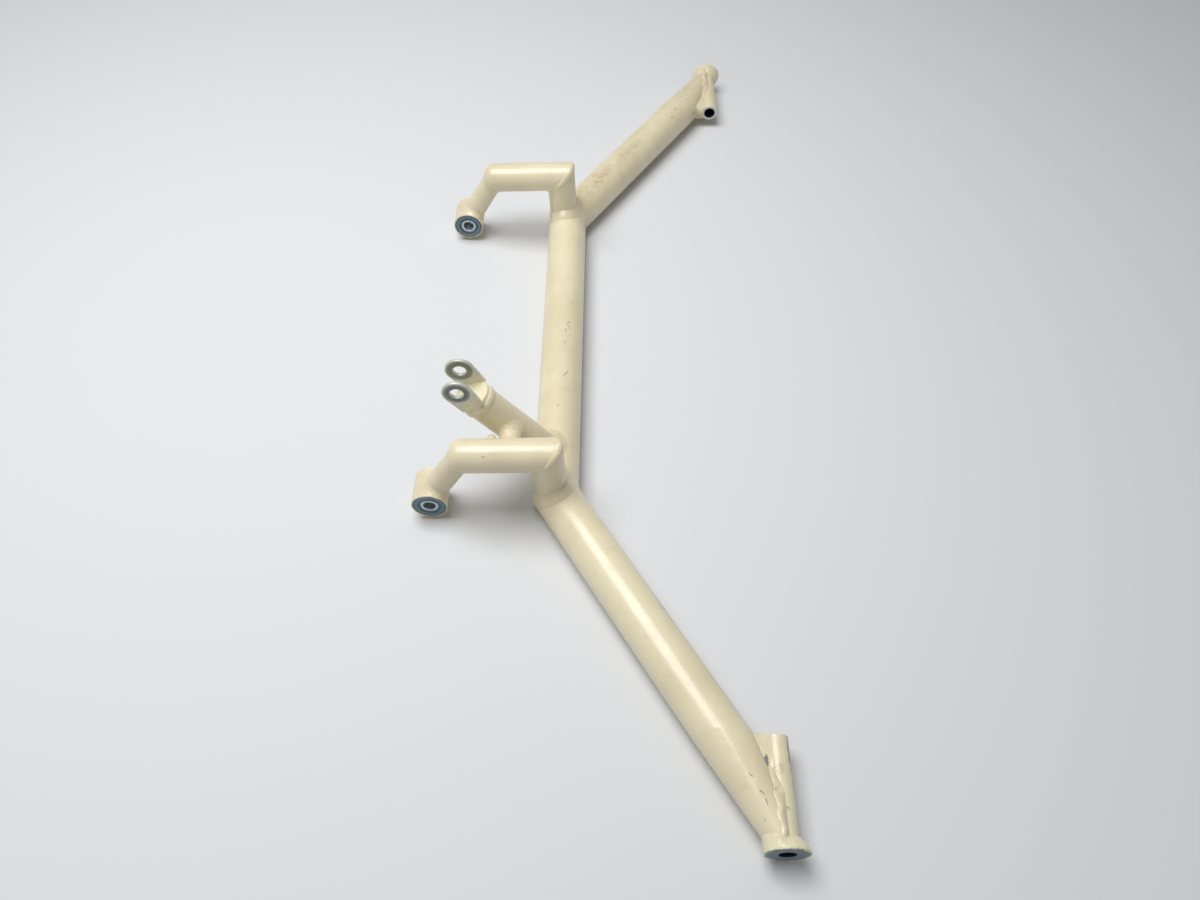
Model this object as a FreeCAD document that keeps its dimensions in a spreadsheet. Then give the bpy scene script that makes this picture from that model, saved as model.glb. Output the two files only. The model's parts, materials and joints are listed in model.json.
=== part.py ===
import FreeCAD, Part
import os

# Control column cross member of a light aircraft, in welded steel tube
# Millimetres; +Z up, +Y to the right column, -X forward, standing on its main tubes
# The origin is the middle of the underside of the whole part

SIZES = {
    # Main tube across the middle and the two arms swept back from its ends
    "main_outer": 34.925,
    "main_wall": 1.65,
    "half_span": 160.0,
    "arm_sweep": 31.8,
    "wrap_outer": 20.4,
    "wrap_seam": 2.8,
    # Pin sleeve and end disc at the tip of each arm
    "sleeve_outer": 15.875,
    "sleeve_bore": 11.1125,
    "sleeve_reach": 148.7,
    "sleeve_step": 34.0,
    "sleeve_set_back": 0.2,
    "sleeve_length": 68.6,
    "disc_outer": 29.2,
    "disc_thick": 2.6,
    "gusset_thick": 12.4,
    "gusset_length": 27.0,
    # Cranks that carry the pivot bearings
    "crank_outer": 25.4,
    "crank_wall": 1.245,
    "crank_foot": 3.3,
    "crank_height": 51.0,
    "crank_lean": 3.37,
    "cross_reach": 61.2,
    "cross_overhang": 9.1,
    "cross_round": 9.0,
    "drop_outer": 19.05,
    "drop_wall": 1.245,
    # Pivot housings and their ball bearings
    "pivot_reach": 94.4,
    "housing_outer": 27.0,
    "housing_length": 26.0,
    "shoulder_bore": 18.6,
    "bearing_outer": 22.225,
    "bearing_bore": 9.525,
    "bearing_width": 7.142,
    "bearing_set_back": 0.3,
    "inner_land": 13.6,
    "outer_land": 18.4,
    "ball_size": 3.969,
    "ball_clear": 0.04,
    "cage_inner": 14.9,
    "cage_outer": 16.9,
    "cage_width": 4.9,
    "pocket_clear": 0.1,
    "ring_chamfer": 0.4,
    "shield_thick": 0.4,
    "shield_clear": 0.2,
    "spacer_outer": 13.0,
    # Push rod arm and its fork
    "rod_arm_outer": 25.4,
    "rod_arm_wall": 1.245,
    "crank_gap": 34.4,
    "rod_arm_rise": 50.8,
    "rod_arm_length": 88.5,
    "fork_gap": 19.05,
    "ear_thick": 2.286,
    "ear_radius": 10.6,
    "ear_flare": 11.0,
    "ear_start": 6.5,
    "pin_reach": 24.7,
    "pin_rise": 2.9,
    "pin_bore": 9.525,
    "stem_plug": 12.0,
    "plug_clear": 0.05,
    "floor_reach": 9.0,
    "floor_tilt": 16.0,
    # Brace stub between the push rod arm and the left crank
    "stub_outer": 15.875,
    "stub_wall": 1.245,
    "stub_reach": 33.3,
    "stub_height": 44.6,
    # Weld beads
    "bead": 2.2,
    "band_width": 6.0,
    "band_rise": 1.0,
    "seam_bead": 5.0,
    "seam_overlap": 0.4,
    "skirt_length": 6.0,
    "skirt_top": 0.4,
    "skirt_edge": 0.9,
    "tack_size": 7.0,
    "tack_reach": 46.5,
    "tack_height": 50.5,
}

BALL_COUNT = 7

# Place of the main tube's axis, from the overall box of the part
AXIS_X = "(({pivot_reach} + {housing_outer} / 2) - ({sleeve_reach} + {disc_outer} / 2)) / 2"
AXIS_Z = "{main_outer} / 2"

# Where the arm comes to its forming, one sleeve step short of the sleeve's axis
FORM_START = "({half_span} + ({sleeve_reach} - {sleeve_step}) / tan({arm_sweep}))"

# Radius and length of the solids that only mark off one side of a plane
REACH = f"2 * {FORM_START}"

doc = FreeCAD.newDocument("CrossMember")
sheet = doc.addObject("Spreadsheet::Sheet", "Sizes")
for row, (alias, value) in enumerate(SIZES.items(), 1):
    sheet.set(f"A{row}", alias)
    sheet.set(f"B{row}", str(value))
    sheet.setAlias(f"B{row}", alias)
doc.recompute()

nodes = []


def bound(text):
    """Turn names in braces into references to the sheet."""
    return text.replace("{", "Sizes.").replace("}", "")


def place(point, turn="0; 0; 0"):
    """Placement expression from three coordinates and yaw, pitch and roll."""
    return bound(f"placement(vector({'; '.join(point)}); rotation({turn}))")


def bind(item, **sizes):
    for prop, text in sizes.items():
        item.setExpression(prop, bound(text))


def cylinder(name, diameter, length, where):
    item = doc.addObject("Part::Cylinder", name)
    bind(item, Radius=f"({diameter}) / 2", Height=length)
    item.setExpression("Placement", where)
    return item


def fused(name, items):
    item = doc.addObject("Part::MultiFuse", name)
    item.Shapes = items
    return item


def cut(name, base, tools):
    item = doc.addObject("Part::Cut", name)
    item.Base = base
    item.Tool = tools[0] if len(tools) == 1 else fused(name + "Tools", tools)
    return item


def common(name, first, second):
    item = doc.addObject("Part::MultiCommon", name)
    item.Shapes = [first, second]
    return item


def group(name, items):
    item = doc.addObject("Part::Compound", name)
    item.Links = items
    return item


def mirrored(name, source):
    item = doc.addObject("Part::Mirroring", name)
    item.Source = source
    item.Normal = (0, 1, 0)
    return item


def node(item, label):
    """Hand a finished piece in under its own name."""
    item.Label = label
    nodes.append(item)


def pair(item, label):
    """Hand in the right piece and its mirror image on the left."""
    node(item, "right_" + label)
    node(mirrored("Left" + item.Name, item), "left_" + label)


def both(name, item, label):
    """Hand in a group of the right solids and their mirror images as one node."""
    node(group(name, [item, mirrored(name + "Left", item)]), label)


def both_sides(item):
    return fused(item.Name + "Both", [item, mirrored(item.Name + "Mirror", item)])


def plus(base, *terms):
    return " + ".join([f"({base})"] + [f"({term})" for term in terms])


# Main tube: right mitre plane halfway through the sweep, and its mirror image
MITRE = (AXIS_X, "{half_span}", AXIS_Z)
along_arm = "-{arm_sweep}; 0; -90"
beyond_mitre = cylinder("BeyondMitre", REACH, REACH, place(MITRE, "-{arm_sweep} / 2; 0; -90"))
beyond_both = both_sides(beyond_mitre)


def main_bar(name, diameter):
    """Round bar on the main axis, cut off at both mitres."""
    start = place((AXIS_X, "-{half_span} - {main_outer}", AXIS_Z), "0; 0; -90")
    bar = cylinder(name + "Bar", diameter, "2 * ({half_span} + {main_outer})", start)
    return cut(name, bar, [beyond_both])


main_core = main_bar("MainCore", "{main_outer}")
main_bore = main_bar("MainBore", "{main_outer} - 2 * {main_wall}")
node(cut("CentreTube", main_core, [main_bore]), "centre_tube")

# Pin sleeve, parallel to the main tube, and the disc that closes the arm behind it
SLEEVE_X = plus(AXIS_X, "{sleeve_reach}")
SLEEVE_START = f"{FORM_START} + {{sleeve_set_back}}"
SLEEVE_END = f"{SLEEVE_START} + {{sleeve_length}}"
along_y = "0; 0; -90"
sleeve_place = place((SLEEVE_X, SLEEVE_START, AXIS_Z), along_y)
sleeve_core = cylinder("SleeveCore", "{sleeve_outer}", "{sleeve_length}", sleeve_place)
pin_way = cylinder("PinWay", "{sleeve_bore}", "{sleeve_length} + 2 * {disc_thick}", sleeve_place)
pair(cut("Sleeve", sleeve_core, [pin_way]), "sleeve")

disc_place = place((SLEEVE_X, SLEEVE_END, AXIS_Z), along_y)
disc_core = cylinder("DiscCore", "{disc_outer}", "{disc_thick}", disc_place)
pair(cut("Disc", disc_core, [pin_way]), "end_disc")


def arm_section(name, station, across, upright):
    """Ellipse across the arm at one station along Y."""
    item = doc.addObject("Part::Ellipse", name)
    bind(item, MajorRadius=across, MinorRadius=upright)
    x = plus(AXIS_X, f"({station} - {{half_span}}) * tan({{arm_sweep}})")
    item.setExpression("Placement", place((x, station, AXIS_Z), "0; 0; 90"))
    return item


beyond_form = cylinder("BeyondForm", REACH, REACH, place((AXIS_X, FORM_START, AXIS_Z), along_y))


def arm_bar(name, inset):
    """Round arm whose tip is formed down onto the pin sleeve, less an inset all round."""
    radius = f"({{main_outer}} / 2 - {inset})"
    start_x = plus(AXIS_X, "-{main_outer} * sin({arm_sweep})")
    start_y = "{half_span} - {main_outer} * cos({arm_sweep})"
    length = f"({FORM_START} - {{half_span}}) / cos({{arm_sweep}}) + 3 * {{main_outer}}"
    start_place = place((start_x, start_y, AXIS_Z), along_arm)
    straight = cylinder(name + "Straight", f"2 * {radius}", length, start_place)
    bend = arm_section(name + "Bend", FORM_START, f"{radius} / cos({{arm_sweep}})", radius)
    tip = doc.addObject("Part::Circle", name + "Tip")
    bind(tip, Radius=f"{{wrap_outer}} / 2 - {inset}")
    tip.setExpression("Placement", place((SLEEVE_X, SLEEVE_END, AXIS_Z), "0; 0; 90"))
    formed = doc.addObject("Part::Loft", name + "Formed")
    formed.Sections = [bend, tip]
    formed.Solid = True
    formed.Ruled = True
    whole = fused(name + "Whole", [cut(name + "Root", straight, [beyond_form]), formed])
    return common(name, whole, beyond_mitre)


arm_core = arm_bar("ArmCore", "0")
arm_bore = arm_bar("ArmBore", "{main_wall}")
past_seam = cylinder(
    "PastSeam", REACH, REACH,
    place((plus(SLEEVE_X, "-{wrap_seam}"), SLEEVE_END, AXIS_Z), "0; 90; 0"),
)
pair(cut("Arm", arm_core, [arm_bore, sleeve_core, past_seam]), "arm_tube")

# Gusset that fills the notch between the arm and the open end of the sleeve
gusset_blank = doc.addObject("Part::Box", "GussetBlank")
bind(gusset_blank, Length="{sleeve_outer} * 2", Width="{gusset_length}", Height="{gusset_thick}")
GUSSET_X = plus(SLEEVE_X, "-2 * {sleeve_outer}")
GUSSET_Z = plus(AXIS_Z, "-{gusset_thick} / 2")
gusset_blank.setExpression("Placement", place((GUSSET_X, SLEEVE_START + " - {band_rise}", GUSSET_Z)))
pair(cut("Gusset", gusset_blank, [arm_core, sleeve_core]), "sleeve_gusset")

# Crank axes, seen along Y: foot on the main tube, corner, elbow and pivot
FOOT_X = plus(AXIS_X, "-{crank_foot}")
CORNER_X = plus(FOOT_X, "-{crank_height} * sin({crank_lean})")
CORNER_Z = plus(AXIS_Z, "{crank_height} * cos({crank_lean})")
ELBOW_X = plus(CORNER_X, "-{cross_reach} * cos({crank_lean})")
ELBOW_Z = plus(CORNER_Z, "-{cross_reach} * sin({crank_lean})")
PIVOT_X = plus(AXIS_X, "-{pivot_reach}")
PIVOT_Z = AXIS_Z
DROP_RUN = f"(({ELBOW_X}) - ({PIVOT_X}))"
DROP_FALL = f"(({ELBOW_Z}) - ({PIVOT_Z}))"
DROP_PITCH = f"-180 deg + atan({DROP_RUN} / {DROP_FALL})"
FOOT = (FOOT_X, "{half_span}", AXIS_Z)
CORNER = (CORNER_X, "{half_span}", CORNER_Z)
ELBOW = (ELBOW_X, "{half_span}", ELBOW_Z)
beyond_corner = cylinder("BeyondCorner", REACH, REACH, place(CORNER, "0; -45 - {crank_lean}; 0"))


def upright_bar(name, diameter):
    return cylinder(name, diameter, "{crank_height} + {crank_outer}", place(FOOT, "0; -{crank_lean}; 0"))


def cross_bar(name, inset):
    """Round bar from the corner past the elbow, with a closed and rounded far end."""
    body = doc.addObject("PartDesign::Body", name)
    bar = body.newObject("PartDesign::AdditiveCylinder", name + "Bar")
    bind(bar, Radius=f"{{crank_outer}} / 2 - {inset}")
    bind(bar, Height=f"{{crank_outer}} + {{cross_reach}} + {{cross_overhang}} - {inset}")
    doc.recompute()
    rims = [n for n, edge in enumerate(bar.Shape.Edges, 1) if edge.isClosed() and edge.CenterOfMass.z > 1]
    rounding = body.newObject("PartDesign::Fillet", name + "Round")
    rounding.Base = (bar, [f"Edge{rims[0]}"])
    bind(rounding, Radius=f"{{cross_round}} - {inset}")
    start_x = plus(CORNER_X, "{crank_outer} * cos({crank_lean})")
    start_z = plus(CORNER_Z, "{crank_outer} * sin({crank_lean})")
    body.setExpression("Placement", place((start_x, "{half_span}", start_z), "0; -90 - {crank_lean}; 0"))
    return body


def drop_bar(name, diameter):
    length = f"sqrt({DROP_RUN} * {DROP_RUN} + {DROP_FALL} * {DROP_FALL})"
    return cylinder(name, diameter, length, place(ELBOW, f"0; {DROP_PITCH}; 0"))


upright_core = upright_bar("UprightCore", "{crank_outer}")
upright_bore = upright_bar("UprightBore", "{crank_outer} - 2 * {crank_wall}")
upright_mitred = cut("UprightMitred", upright_core, [beyond_corner])
pair(cut("Upright", upright_mitred, [upright_bore, main_core, arm_core]), "crank_upright")

cross_core = cross_bar("CrossCore", "0")
cross_bore = cross_bar("CrossBore", "{crank_wall}")
cross_mitred = common("CrossMitred", cross_core, beyond_corner)
pair(cut("CrossTube", cross_mitred, [cross_bore]), "crank_cross_tube")

HOUSING_START = "{half_span} - {housing_length} / 2"
housing_place = place((PIVOT_X, HOUSING_START, PIVOT_Z), along_y)
housing_core = cylinder("HousingCore", "{housing_outer}", "{housing_length}", housing_place)
drop_core = drop_bar("DropCore", "{drop_outer}")
drop_bore = drop_bar("DropBore", "{drop_outer} - 2 * {drop_wall}")
pair(cut("Drop", drop_core, [drop_bore, cross_core, housing_core]), "crank_drop_tube")

# Bearing housing: a seat at each face and a shoulder between the seats
SEAT_DEPTH = "{bearing_set_back} + {bearing_width}"
inboard_seat = cylinder("InboardSeat", "{bearing_outer}", SEAT_DEPTH, housing_place)
outboard_seat = cylinder(
    "OutboardSeat", "{bearing_outer}", SEAT_DEPTH,
    place((PIVOT_X, "{half_span} + {housing_length} / 2", PIVOT_Z), "0; 0; 90"),
)
shoulder_way = cylinder("ShoulderWay", "{shoulder_bore}", "{housing_length}", housing_place)
pair(cut("Housing", housing_core, [inboard_seat, outboard_seat, shoulder_way]), "bearing_housing")


def ring(name, inner, outer, station):
    """Chamfered ring round the pivot axis, one bearing width long."""
    body = doc.addObject("PartDesign::Body", name)
    blank = body.newObject("PartDesign::AdditiveCylinder", name + "Blank")
    bind(blank, Radius=f"{outer} / 2", Height="{bearing_width}")
    hole = body.newObject("PartDesign::SubtractiveCylinder", name + "Hole")
    bind(hole, Radius=f"{inner} / 2", Height="{bearing_width}")
    doc.recompute()
    rims = [f"Edge{n}" for n, edge in enumerate(hole.Shape.Edges, 1) if edge.isClosed()]
    chamfer = body.newObject("PartDesign::Chamfer", name + "Chamfer")
    chamfer.Base = (hole, rims)
    bind(chamfer, Size="{ring_chamfer}")
    body.setExpression("Placement", place((PIVOT_X, f"{station} - {{bearing_width}} / 2", PIVOT_Z), along_y))
    return body


def ball_ring(name, diameter, station):
    """Spheres evenly round the pitch circle."""
    balls = []
    for index in range(BALL_COUNT):
        ball = doc.addObject("Part::Sphere", f"{name}{index + 1}")
        bind(ball, Radius=f"({diameter}) / 2")
        angle = 360 * index / BALL_COUNT
        x = plus(PIVOT_X, f"({{inner_land}} + {{outer_land}}) / 4 * cos({angle:.6f})")
        z = plus(PIVOT_Z, f"({{inner_land}} + {{outer_land}}) / 4 * sin({angle:.6f})")
        ball.setExpression("Placement", place((x, station, z)))
        balls.append(ball)
    return balls


def shield(name, station):
    """Thin washer between the rings, let into the outer ring's edge."""
    where = place((PIVOT_X, station, PIVOT_Z), along_y)
    blank = cylinder(name + "Blank", "{outer_land}", "{shield_thick}", where)
    hole = cylinder(name + "Hole", "{inner_land} + 2 * {shield_clear}", "{shield_thick}", where)
    return cut(name, blank, [hole])


def bearing(side, station):
    """One shielded ball bearing: rings, balls, cage and both shields."""
    name = side.capitalize()
    race = doc.addObject("Part::Torus", name + "Race")
    bind(race, Radius1="({inner_land} + {outer_land}) / 4", Radius2="{ball_size} / 2 + {ball_clear}")
    race.setExpression("Placement", place((PIVOT_X, station, PIVOT_Z), along_y))
    outer = ring(name + "OuterBlank", "{outer_land}", "{bearing_outer}", station)
    inner = ring(name + "InnerBlank", "{bearing_bore}", "{inner_land}", station)
    pair(cut(name + "Outer", outer, [race]), side + "_outer_ring")
    pair(cut(name + "Inner", inner, [race]), side + "_inner_ring")
    pair(group(name + "Balls", ball_ring(name + "Ball", "{ball_size}", station)), side + "_balls")
    cage_place = place((PIVOT_X, f"{station} - {{cage_width}} / 2", PIVOT_Z), along_y)
    blank = cylinder(name + "CageBlank", "{cage_outer}", "{cage_width}", cage_place)
    hole = cylinder(name + "CageHole", "{cage_inner}", "{cage_width}", cage_place)
    pockets = ball_ring(name + "Pocket", "{ball_size} + 2 * {pocket_clear}", station)
    pair(cut(name + "Cage", blank, [hole] + pockets), side + "_cage")
    edge = "({bearing_width} / 2 - {ring_chamfer} - {shield_thick})"
    shields = [
        shield(name + "LowShield", f"{station} - {edge} - {{shield_thick}}"),
        shield(name + "HighShield", f"{station} + {edge}"),
    ]
    pair(group(name + "Shields", shields), side + "_shields")


BEARING_OFFSET = "({housing_length} / 2 - {bearing_set_back} - {bearing_width} / 2)"
bearing("inboard", f"({{half_span}} - {BEARING_OFFSET})")
bearing("outboard", f"({{half_span}} + {BEARING_OFFSET})")

# Spacer that keeps the two inner rings apart
SPACER_LENGTH = f"2 * {BEARING_OFFSET} - {{bearing_width}}"
spacer_place = place((PIVOT_X, f"{{half_span}} - ({SPACER_LENGTH}) / 2", PIVOT_Z), along_y)
spacer_core = cylinder("SpacerCore", "{spacer_outer}", SPACER_LENGTH, spacer_place)
spacer_bore = cylinder("SpacerBore", "{bearing_bore}", SPACER_LENGTH, spacer_place)
pair(cut("Spacer", spacer_core, [spacer_bore]), "bearing_spacer")

# Push rod arm, left of the middle, rising forward from the main tube
ROD_Y = "-({half_span} - {crank_gap})"
rod_turn = "0; {rod_arm_rise} - 90; 0"


def on_arm(along, up="0"):
    """X and Z of a point a given way along the push rod arm and up from its axis."""
    x = plus(AXIS_X, f"{up} * sin({{rod_arm_rise}}) - ({along}) * cos({{rod_arm_rise}})")
    z = plus(AXIS_Z, f"{up} * cos({{rod_arm_rise}}) + ({along}) * sin({{rod_arm_rise}})")
    return x, z


def arm_place(along, up="0", aside="0", turn=rod_turn):
    x, z = on_arm(along, up)
    return place((x, f"{ROD_Y} + {aside}", z), turn)


def rod_arm_bar(name, diameter):
    return cylinder(name, diameter, "{rod_arm_length}", arm_place("0"))


rod_arm_core = rod_arm_bar("RodArmCore", "{rod_arm_outer}")
rod_arm_bore = rod_arm_bar("RodArmBore", "{rod_arm_outer} - 2 * {rod_arm_wall}")
node(cut("RodArm", rod_arm_core, [rod_arm_bore, main_core]), "push_rod_arm")


# Fork end: round stem with a plug inside the arm, and two flared ears round the pin
PIN_ALONG = "{rod_arm_length} + {pin_reach}"
FLOOR_ALONG = "{rod_arm_length} + {floor_reach}"
EAR_SPAN = "({fork_gap} + 2 * {ear_thick})"
floor_turn = "0; {rod_arm_rise} - 90 + {floor_tilt}; 0"
beyond_floor = cylinder("BeyondFloor", REACH, REACH, arm_place(FLOOR_ALONG, turn=floor_turn))
stem_round = cylinder("StemRound", "{rod_arm_outer}", "{pin_reach}", arm_place("{rod_arm_length}"))
stem = cut("Stem", stem_round, [beyond_floor])
plug = cylinder(
    "StemPlug", "{rod_arm_outer} - 2 * {rod_arm_wall} - 2 * {plug_clear}", "2 * {stem_plug}",
    arm_place("{rod_arm_length} - {stem_plug}"),
)
plug_short = cut("StemPlugShort", plug, [beyond_floor])


def box_on_arm(name, size, where):
    item = doc.addObject("Part::Box", name)
    length, width, height = size
    bind(item, Length=length, Width=width, Height=height)
    item.setExpression("Placement", where)
    return item


ear_round = cylinder(
    "EarRound", "2 * {ear_radius}", EAR_SPAN,
    arm_place(PIN_ALONG, "{pin_rise}", f"-{EAR_SPAN} / 2", along_y),
)
EAR_RUN = "({pin_reach} - {ear_start})"
ear_low = box_on_arm(
    "EarLow", ("{ear_radius}", EAR_SPAN, EAR_RUN),
    arm_place("{rod_arm_length} + {ear_start}", "({pin_rise} - {ear_radius})", f"-{EAR_SPAN} / 2"),
)
FLARE_BACK = "({pin_rise} - " + EAR_RUN + " * sin({ear_flare}))"
ear_high = box_on_arm(
    "EarHigh", ("{ear_radius}", EAR_SPAN, EAR_RUN),
    arm_place(
        f"{PIN_ALONG} - {EAR_RUN} * cos({{ear_flare}})", FLARE_BACK, f"-{EAR_SPAN} / 2",
        "0; {rod_arm_rise} - 90 + {ear_flare}; 0",
    ),
)
slot_blank = box_on_arm(
    "SlotBlank", ("4 * {ear_radius}", "{fork_gap}", "4 * {ear_radius}"),
    arm_place("{rod_arm_length}", "(0 - 2 * {ear_radius})", "-{fork_gap} / 2"),
)
slot = common("Slot", slot_blank, beyond_floor)
pin_hole = cylinder(
    "PinHole", "{pin_bore}", f"2 * {EAR_SPAN}",
    arm_place(PIN_ALONG, "{pin_rise}", f"-{EAR_SPAN}", along_y),
)
fork_blank = fused("ForkBlank", [stem, plug_short, ear_round, ear_low, ear_high])
fork_blank.Refine = True
node(cut("Fork", fork_blank, [slot, pin_hole]), "fork_end")

# Brace stub between the push rod arm and the left crank
left_cross_core = mirrored("LeftCrossCore", cross_core)
STUB_PLACE = place((plus(AXIS_X, "-{stub_reach}"), "-{half_span}", plus(AXIS_Z, "{stub_height}")), along_y)


def stub_bar(name, diameter):
    return cylinder(name, diameter, "{crank_gap}", STUB_PLACE)


stub_core = stub_bar("StubCore", "{stub_outer}")
stub_bore = stub_bar("StubBore", "{stub_outer} - 2 * {stub_wall}")
node(cut("Stub", stub_core, [stub_bore, rod_arm_core, left_cross_core]), "brace_stub")

# Weld beads: what two swollen bars share, less the bars themselves
SWOLLEN = "+ 2 * {bead}"


def bead(name, branch, base, cores):
    return cut(name, common(name + "Blank", branch, base), cores)


main_swollen = main_bar("MainSwollen", "{main_outer}" + SWOLLEN)
arm_swollen = arm_bar("ArmSwollen", "(0 - {bead})")
tubes_swollen = fused("TubesSwollen", [main_swollen, arm_swollen])
upright_swollen = upright_bar("UprightSwollen", "{crank_outer}" + SWOLLEN)
foot_bead = bead("FootBead", upright_swollen, tubes_swollen, [upright_core, main_core, arm_core])
both("FootBeads", foot_bead, "upright_foot_welds")

cross_swollen = cross_bar("CrossSwollen", "(0 - {bead})")
drop_swollen = drop_bar("DropSwollen", "{drop_outer}" + SWOLLEN)
both("DropBeads", bead("DropBead", drop_swollen, cross_swollen, [drop_core, cross_core]), "drop_top_welds")

housing_swollen = cylinder("HousingSwollen", "{housing_outer}" + SWOLLEN, "{housing_length}", housing_place)
housing_bead = bead("HousingBead", drop_swollen, housing_swollen, [drop_core, housing_core])
both("HousingBeads", housing_bead, "housing_welds")

rod_arm_swollen = rod_arm_bar("RodArmSwollen", "{rod_arm_outer}" + SWOLLEN)
node(bead("RodArmBead", rod_arm_swollen, main_swollen, [rod_arm_core, main_core]), "rod_arm_root_weld")

stub_swollen = stub_bar("StubSwollen", "{stub_outer}" + SWOLLEN)
left_cross_swollen = mirrored("LeftCrossSwollen", cross_swollen)
tack_ball = doc.addObject("Part::Sphere", "TackBall")
bind(tack_ball, Radius="{tack_size} / 2")
TACK_X = plus(AXIS_X, "-{tack_reach}")
TACK_Y = "-{half_span} + {crank_outer} / 2 + {tack_size} / 8"
TACK_Z = plus(AXIS_Z, "{tack_height}")
tack_ball.setExpression("Placement", place((TACK_X, TACK_Y, TACK_Z)))
stub_beads = [
    bead("StubArmBead", stub_swollen, rod_arm_swollen, [stub_core, rod_arm_core]),
    bead("StubCrossBead", stub_swollen, left_cross_swollen, [stub_core, left_cross_core]),
    cut("Tack", tack_ball, [left_cross_core]),
]
node(group("StubBeads", stub_beads), "stub_welds")

# Raised bands along the mitres and round the fork's stem
HALF_BAND = "{band_width} / 2"
RAISED = "+ 2 * {band_rise}"
above_ground = cylinder("AboveGround", REACH, REACH, place(("0", "0", "0")))
mitre_slab = cylinder(
    "MitreSlab", "2 * {main_outer}", "{band_width}",
    place(
        (plus(AXIS_X, f"-{HALF_BAND} * sin({{arm_sweep}} / 2)"),
         f"{{half_span}} - {HALF_BAND} * cos({{arm_sweep}} / 2)", AXIS_Z),
        "-{arm_sweep} / 2; 0; -90",
    ),
)
main_raised = main_bar("MainRaised", "{main_outer}" + RAISED)
arm_raised = arm_bar("ArmRaised", "(0 - {band_rise})")
mitre_blank = common("MitreBlank", fused("RaisedTubes", [main_raised, arm_raised]), mitre_slab)
mitre_above = common("MitreAbove", mitre_blank, above_ground)
mitre_band = cut("MitreBand", mitre_above, [main_core, arm_core, upright_swollen])
both("MitreBands", mitre_band, "arm_mitre_welds")

corner_slab = cylinder(
    "CornerSlab", "2 * {crank_outer}", "{band_width}",
    place(
        (plus(CORNER_X, f"{HALF_BAND} * sin(45 + {{crank_lean}})"), "{half_span}",
         plus(CORNER_Z, f"-{HALF_BAND} * cos(45 + {{crank_lean}})")),
        "0; -45 - {crank_lean}; 0",
    ),
)
raised_corner = fused("RaisedCorner", [
    cut("UprightRaisedMitred", upright_bar("UprightRaised", "{crank_outer}" + RAISED), [beyond_corner]),
    common("CrossRaisedMitred", cross_bar("CrossRaised", "(0 - {band_rise})"), beyond_corner),
])
corner_blank = common("CornerBlank", raised_corner, corner_slab)
both("CornerBands", cut("CornerBand", corner_blank, [upright_mitred, cross_mitred]), "crank_corner_welds")

stem_band = cylinder(
    "StemBand", "{rod_arm_outer}" + RAISED, "{band_width}", arm_place(f"{{rod_arm_length}} - {HALF_BAND}")
)
node(cut("ForkBead", stem_band, [rod_arm_core, stem_round]), "fork_weld")

# Beads where the formed arm tip lands on the sleeve, and the one behind the disc
arm_tip = cut("ArmTip", arm_core, [past_seam])
SEAM_X = plus(SLEEVE_X, "-{wrap_seam} + {seam_bead} / 5")
SEAM_RISE = "({sleeve_outer} / 2 - {seam_bead} / 10)"
SEAM_LENGTH = "({sleeve_length} - {gusset_length} - {skirt_length} + {seam_overlap})"
SKIRT_START = f"{SLEEVE_END} - {{skirt_length}}"


def seam_bead(name, side):
    start = (SEAM_X, f"{SKIRT_START} - {SEAM_LENGTH}", plus(AXIS_Z, f"{side} * {SEAM_RISE}"))
    bar = cylinder(name + "Bar", "{seam_bead}", SEAM_LENGTH, place(start, along_y))
    return cut(name, bar, [arm_tip, sleeve_core])


both("SeamBeads", group("SeamPair", [seam_bead("TopSeam", 1), seam_bead("BottomSeam", -1)]), "sleeve_welds")
skirt = doc.addObject("Part::Cone", "Skirt")
bind(skirt, Height="{skirt_length}")
bind(skirt, Radius1="{sleeve_outer} / 2 + {skirt_top}", Radius2="{disc_outer} / 2 - {skirt_edge}")
skirt.setExpression("Placement", place((SLEEVE_X, SKIRT_START, AXIS_Z), along_y))
both("DiscBeads", cut("DiscBead", skirt, [arm_tip, sleeve_core]), "disc_welds")

doc.recompute()
for item in doc.Objects:
    if "Invalid" in item.State or "Error" in item.State:
        raise RuntimeError(f"{item.Label} did not build: {item.State}")

os.makedirs("parts", exist_ok=True)
for item in nodes:
    shape = item.Shape
    if shape.isNull() or not shape.isValid() or not shape.Solids:
        raise RuntimeError(f"{item.Label} is not a valid solid")
    print(f"{item.Label:28s} solids {len(shape.Solids)} volume {shape.Volume:10.1f} faces {len(shape.Faces)}")
    shape.exportStep(f"parts/{item.Label}.step")
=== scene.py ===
import json
import math

import bmesh
import bpy
from bpy.props import FloatProperty, FloatVectorProperty, PointerProperty
from mathutils import Matrix, Vector


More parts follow.
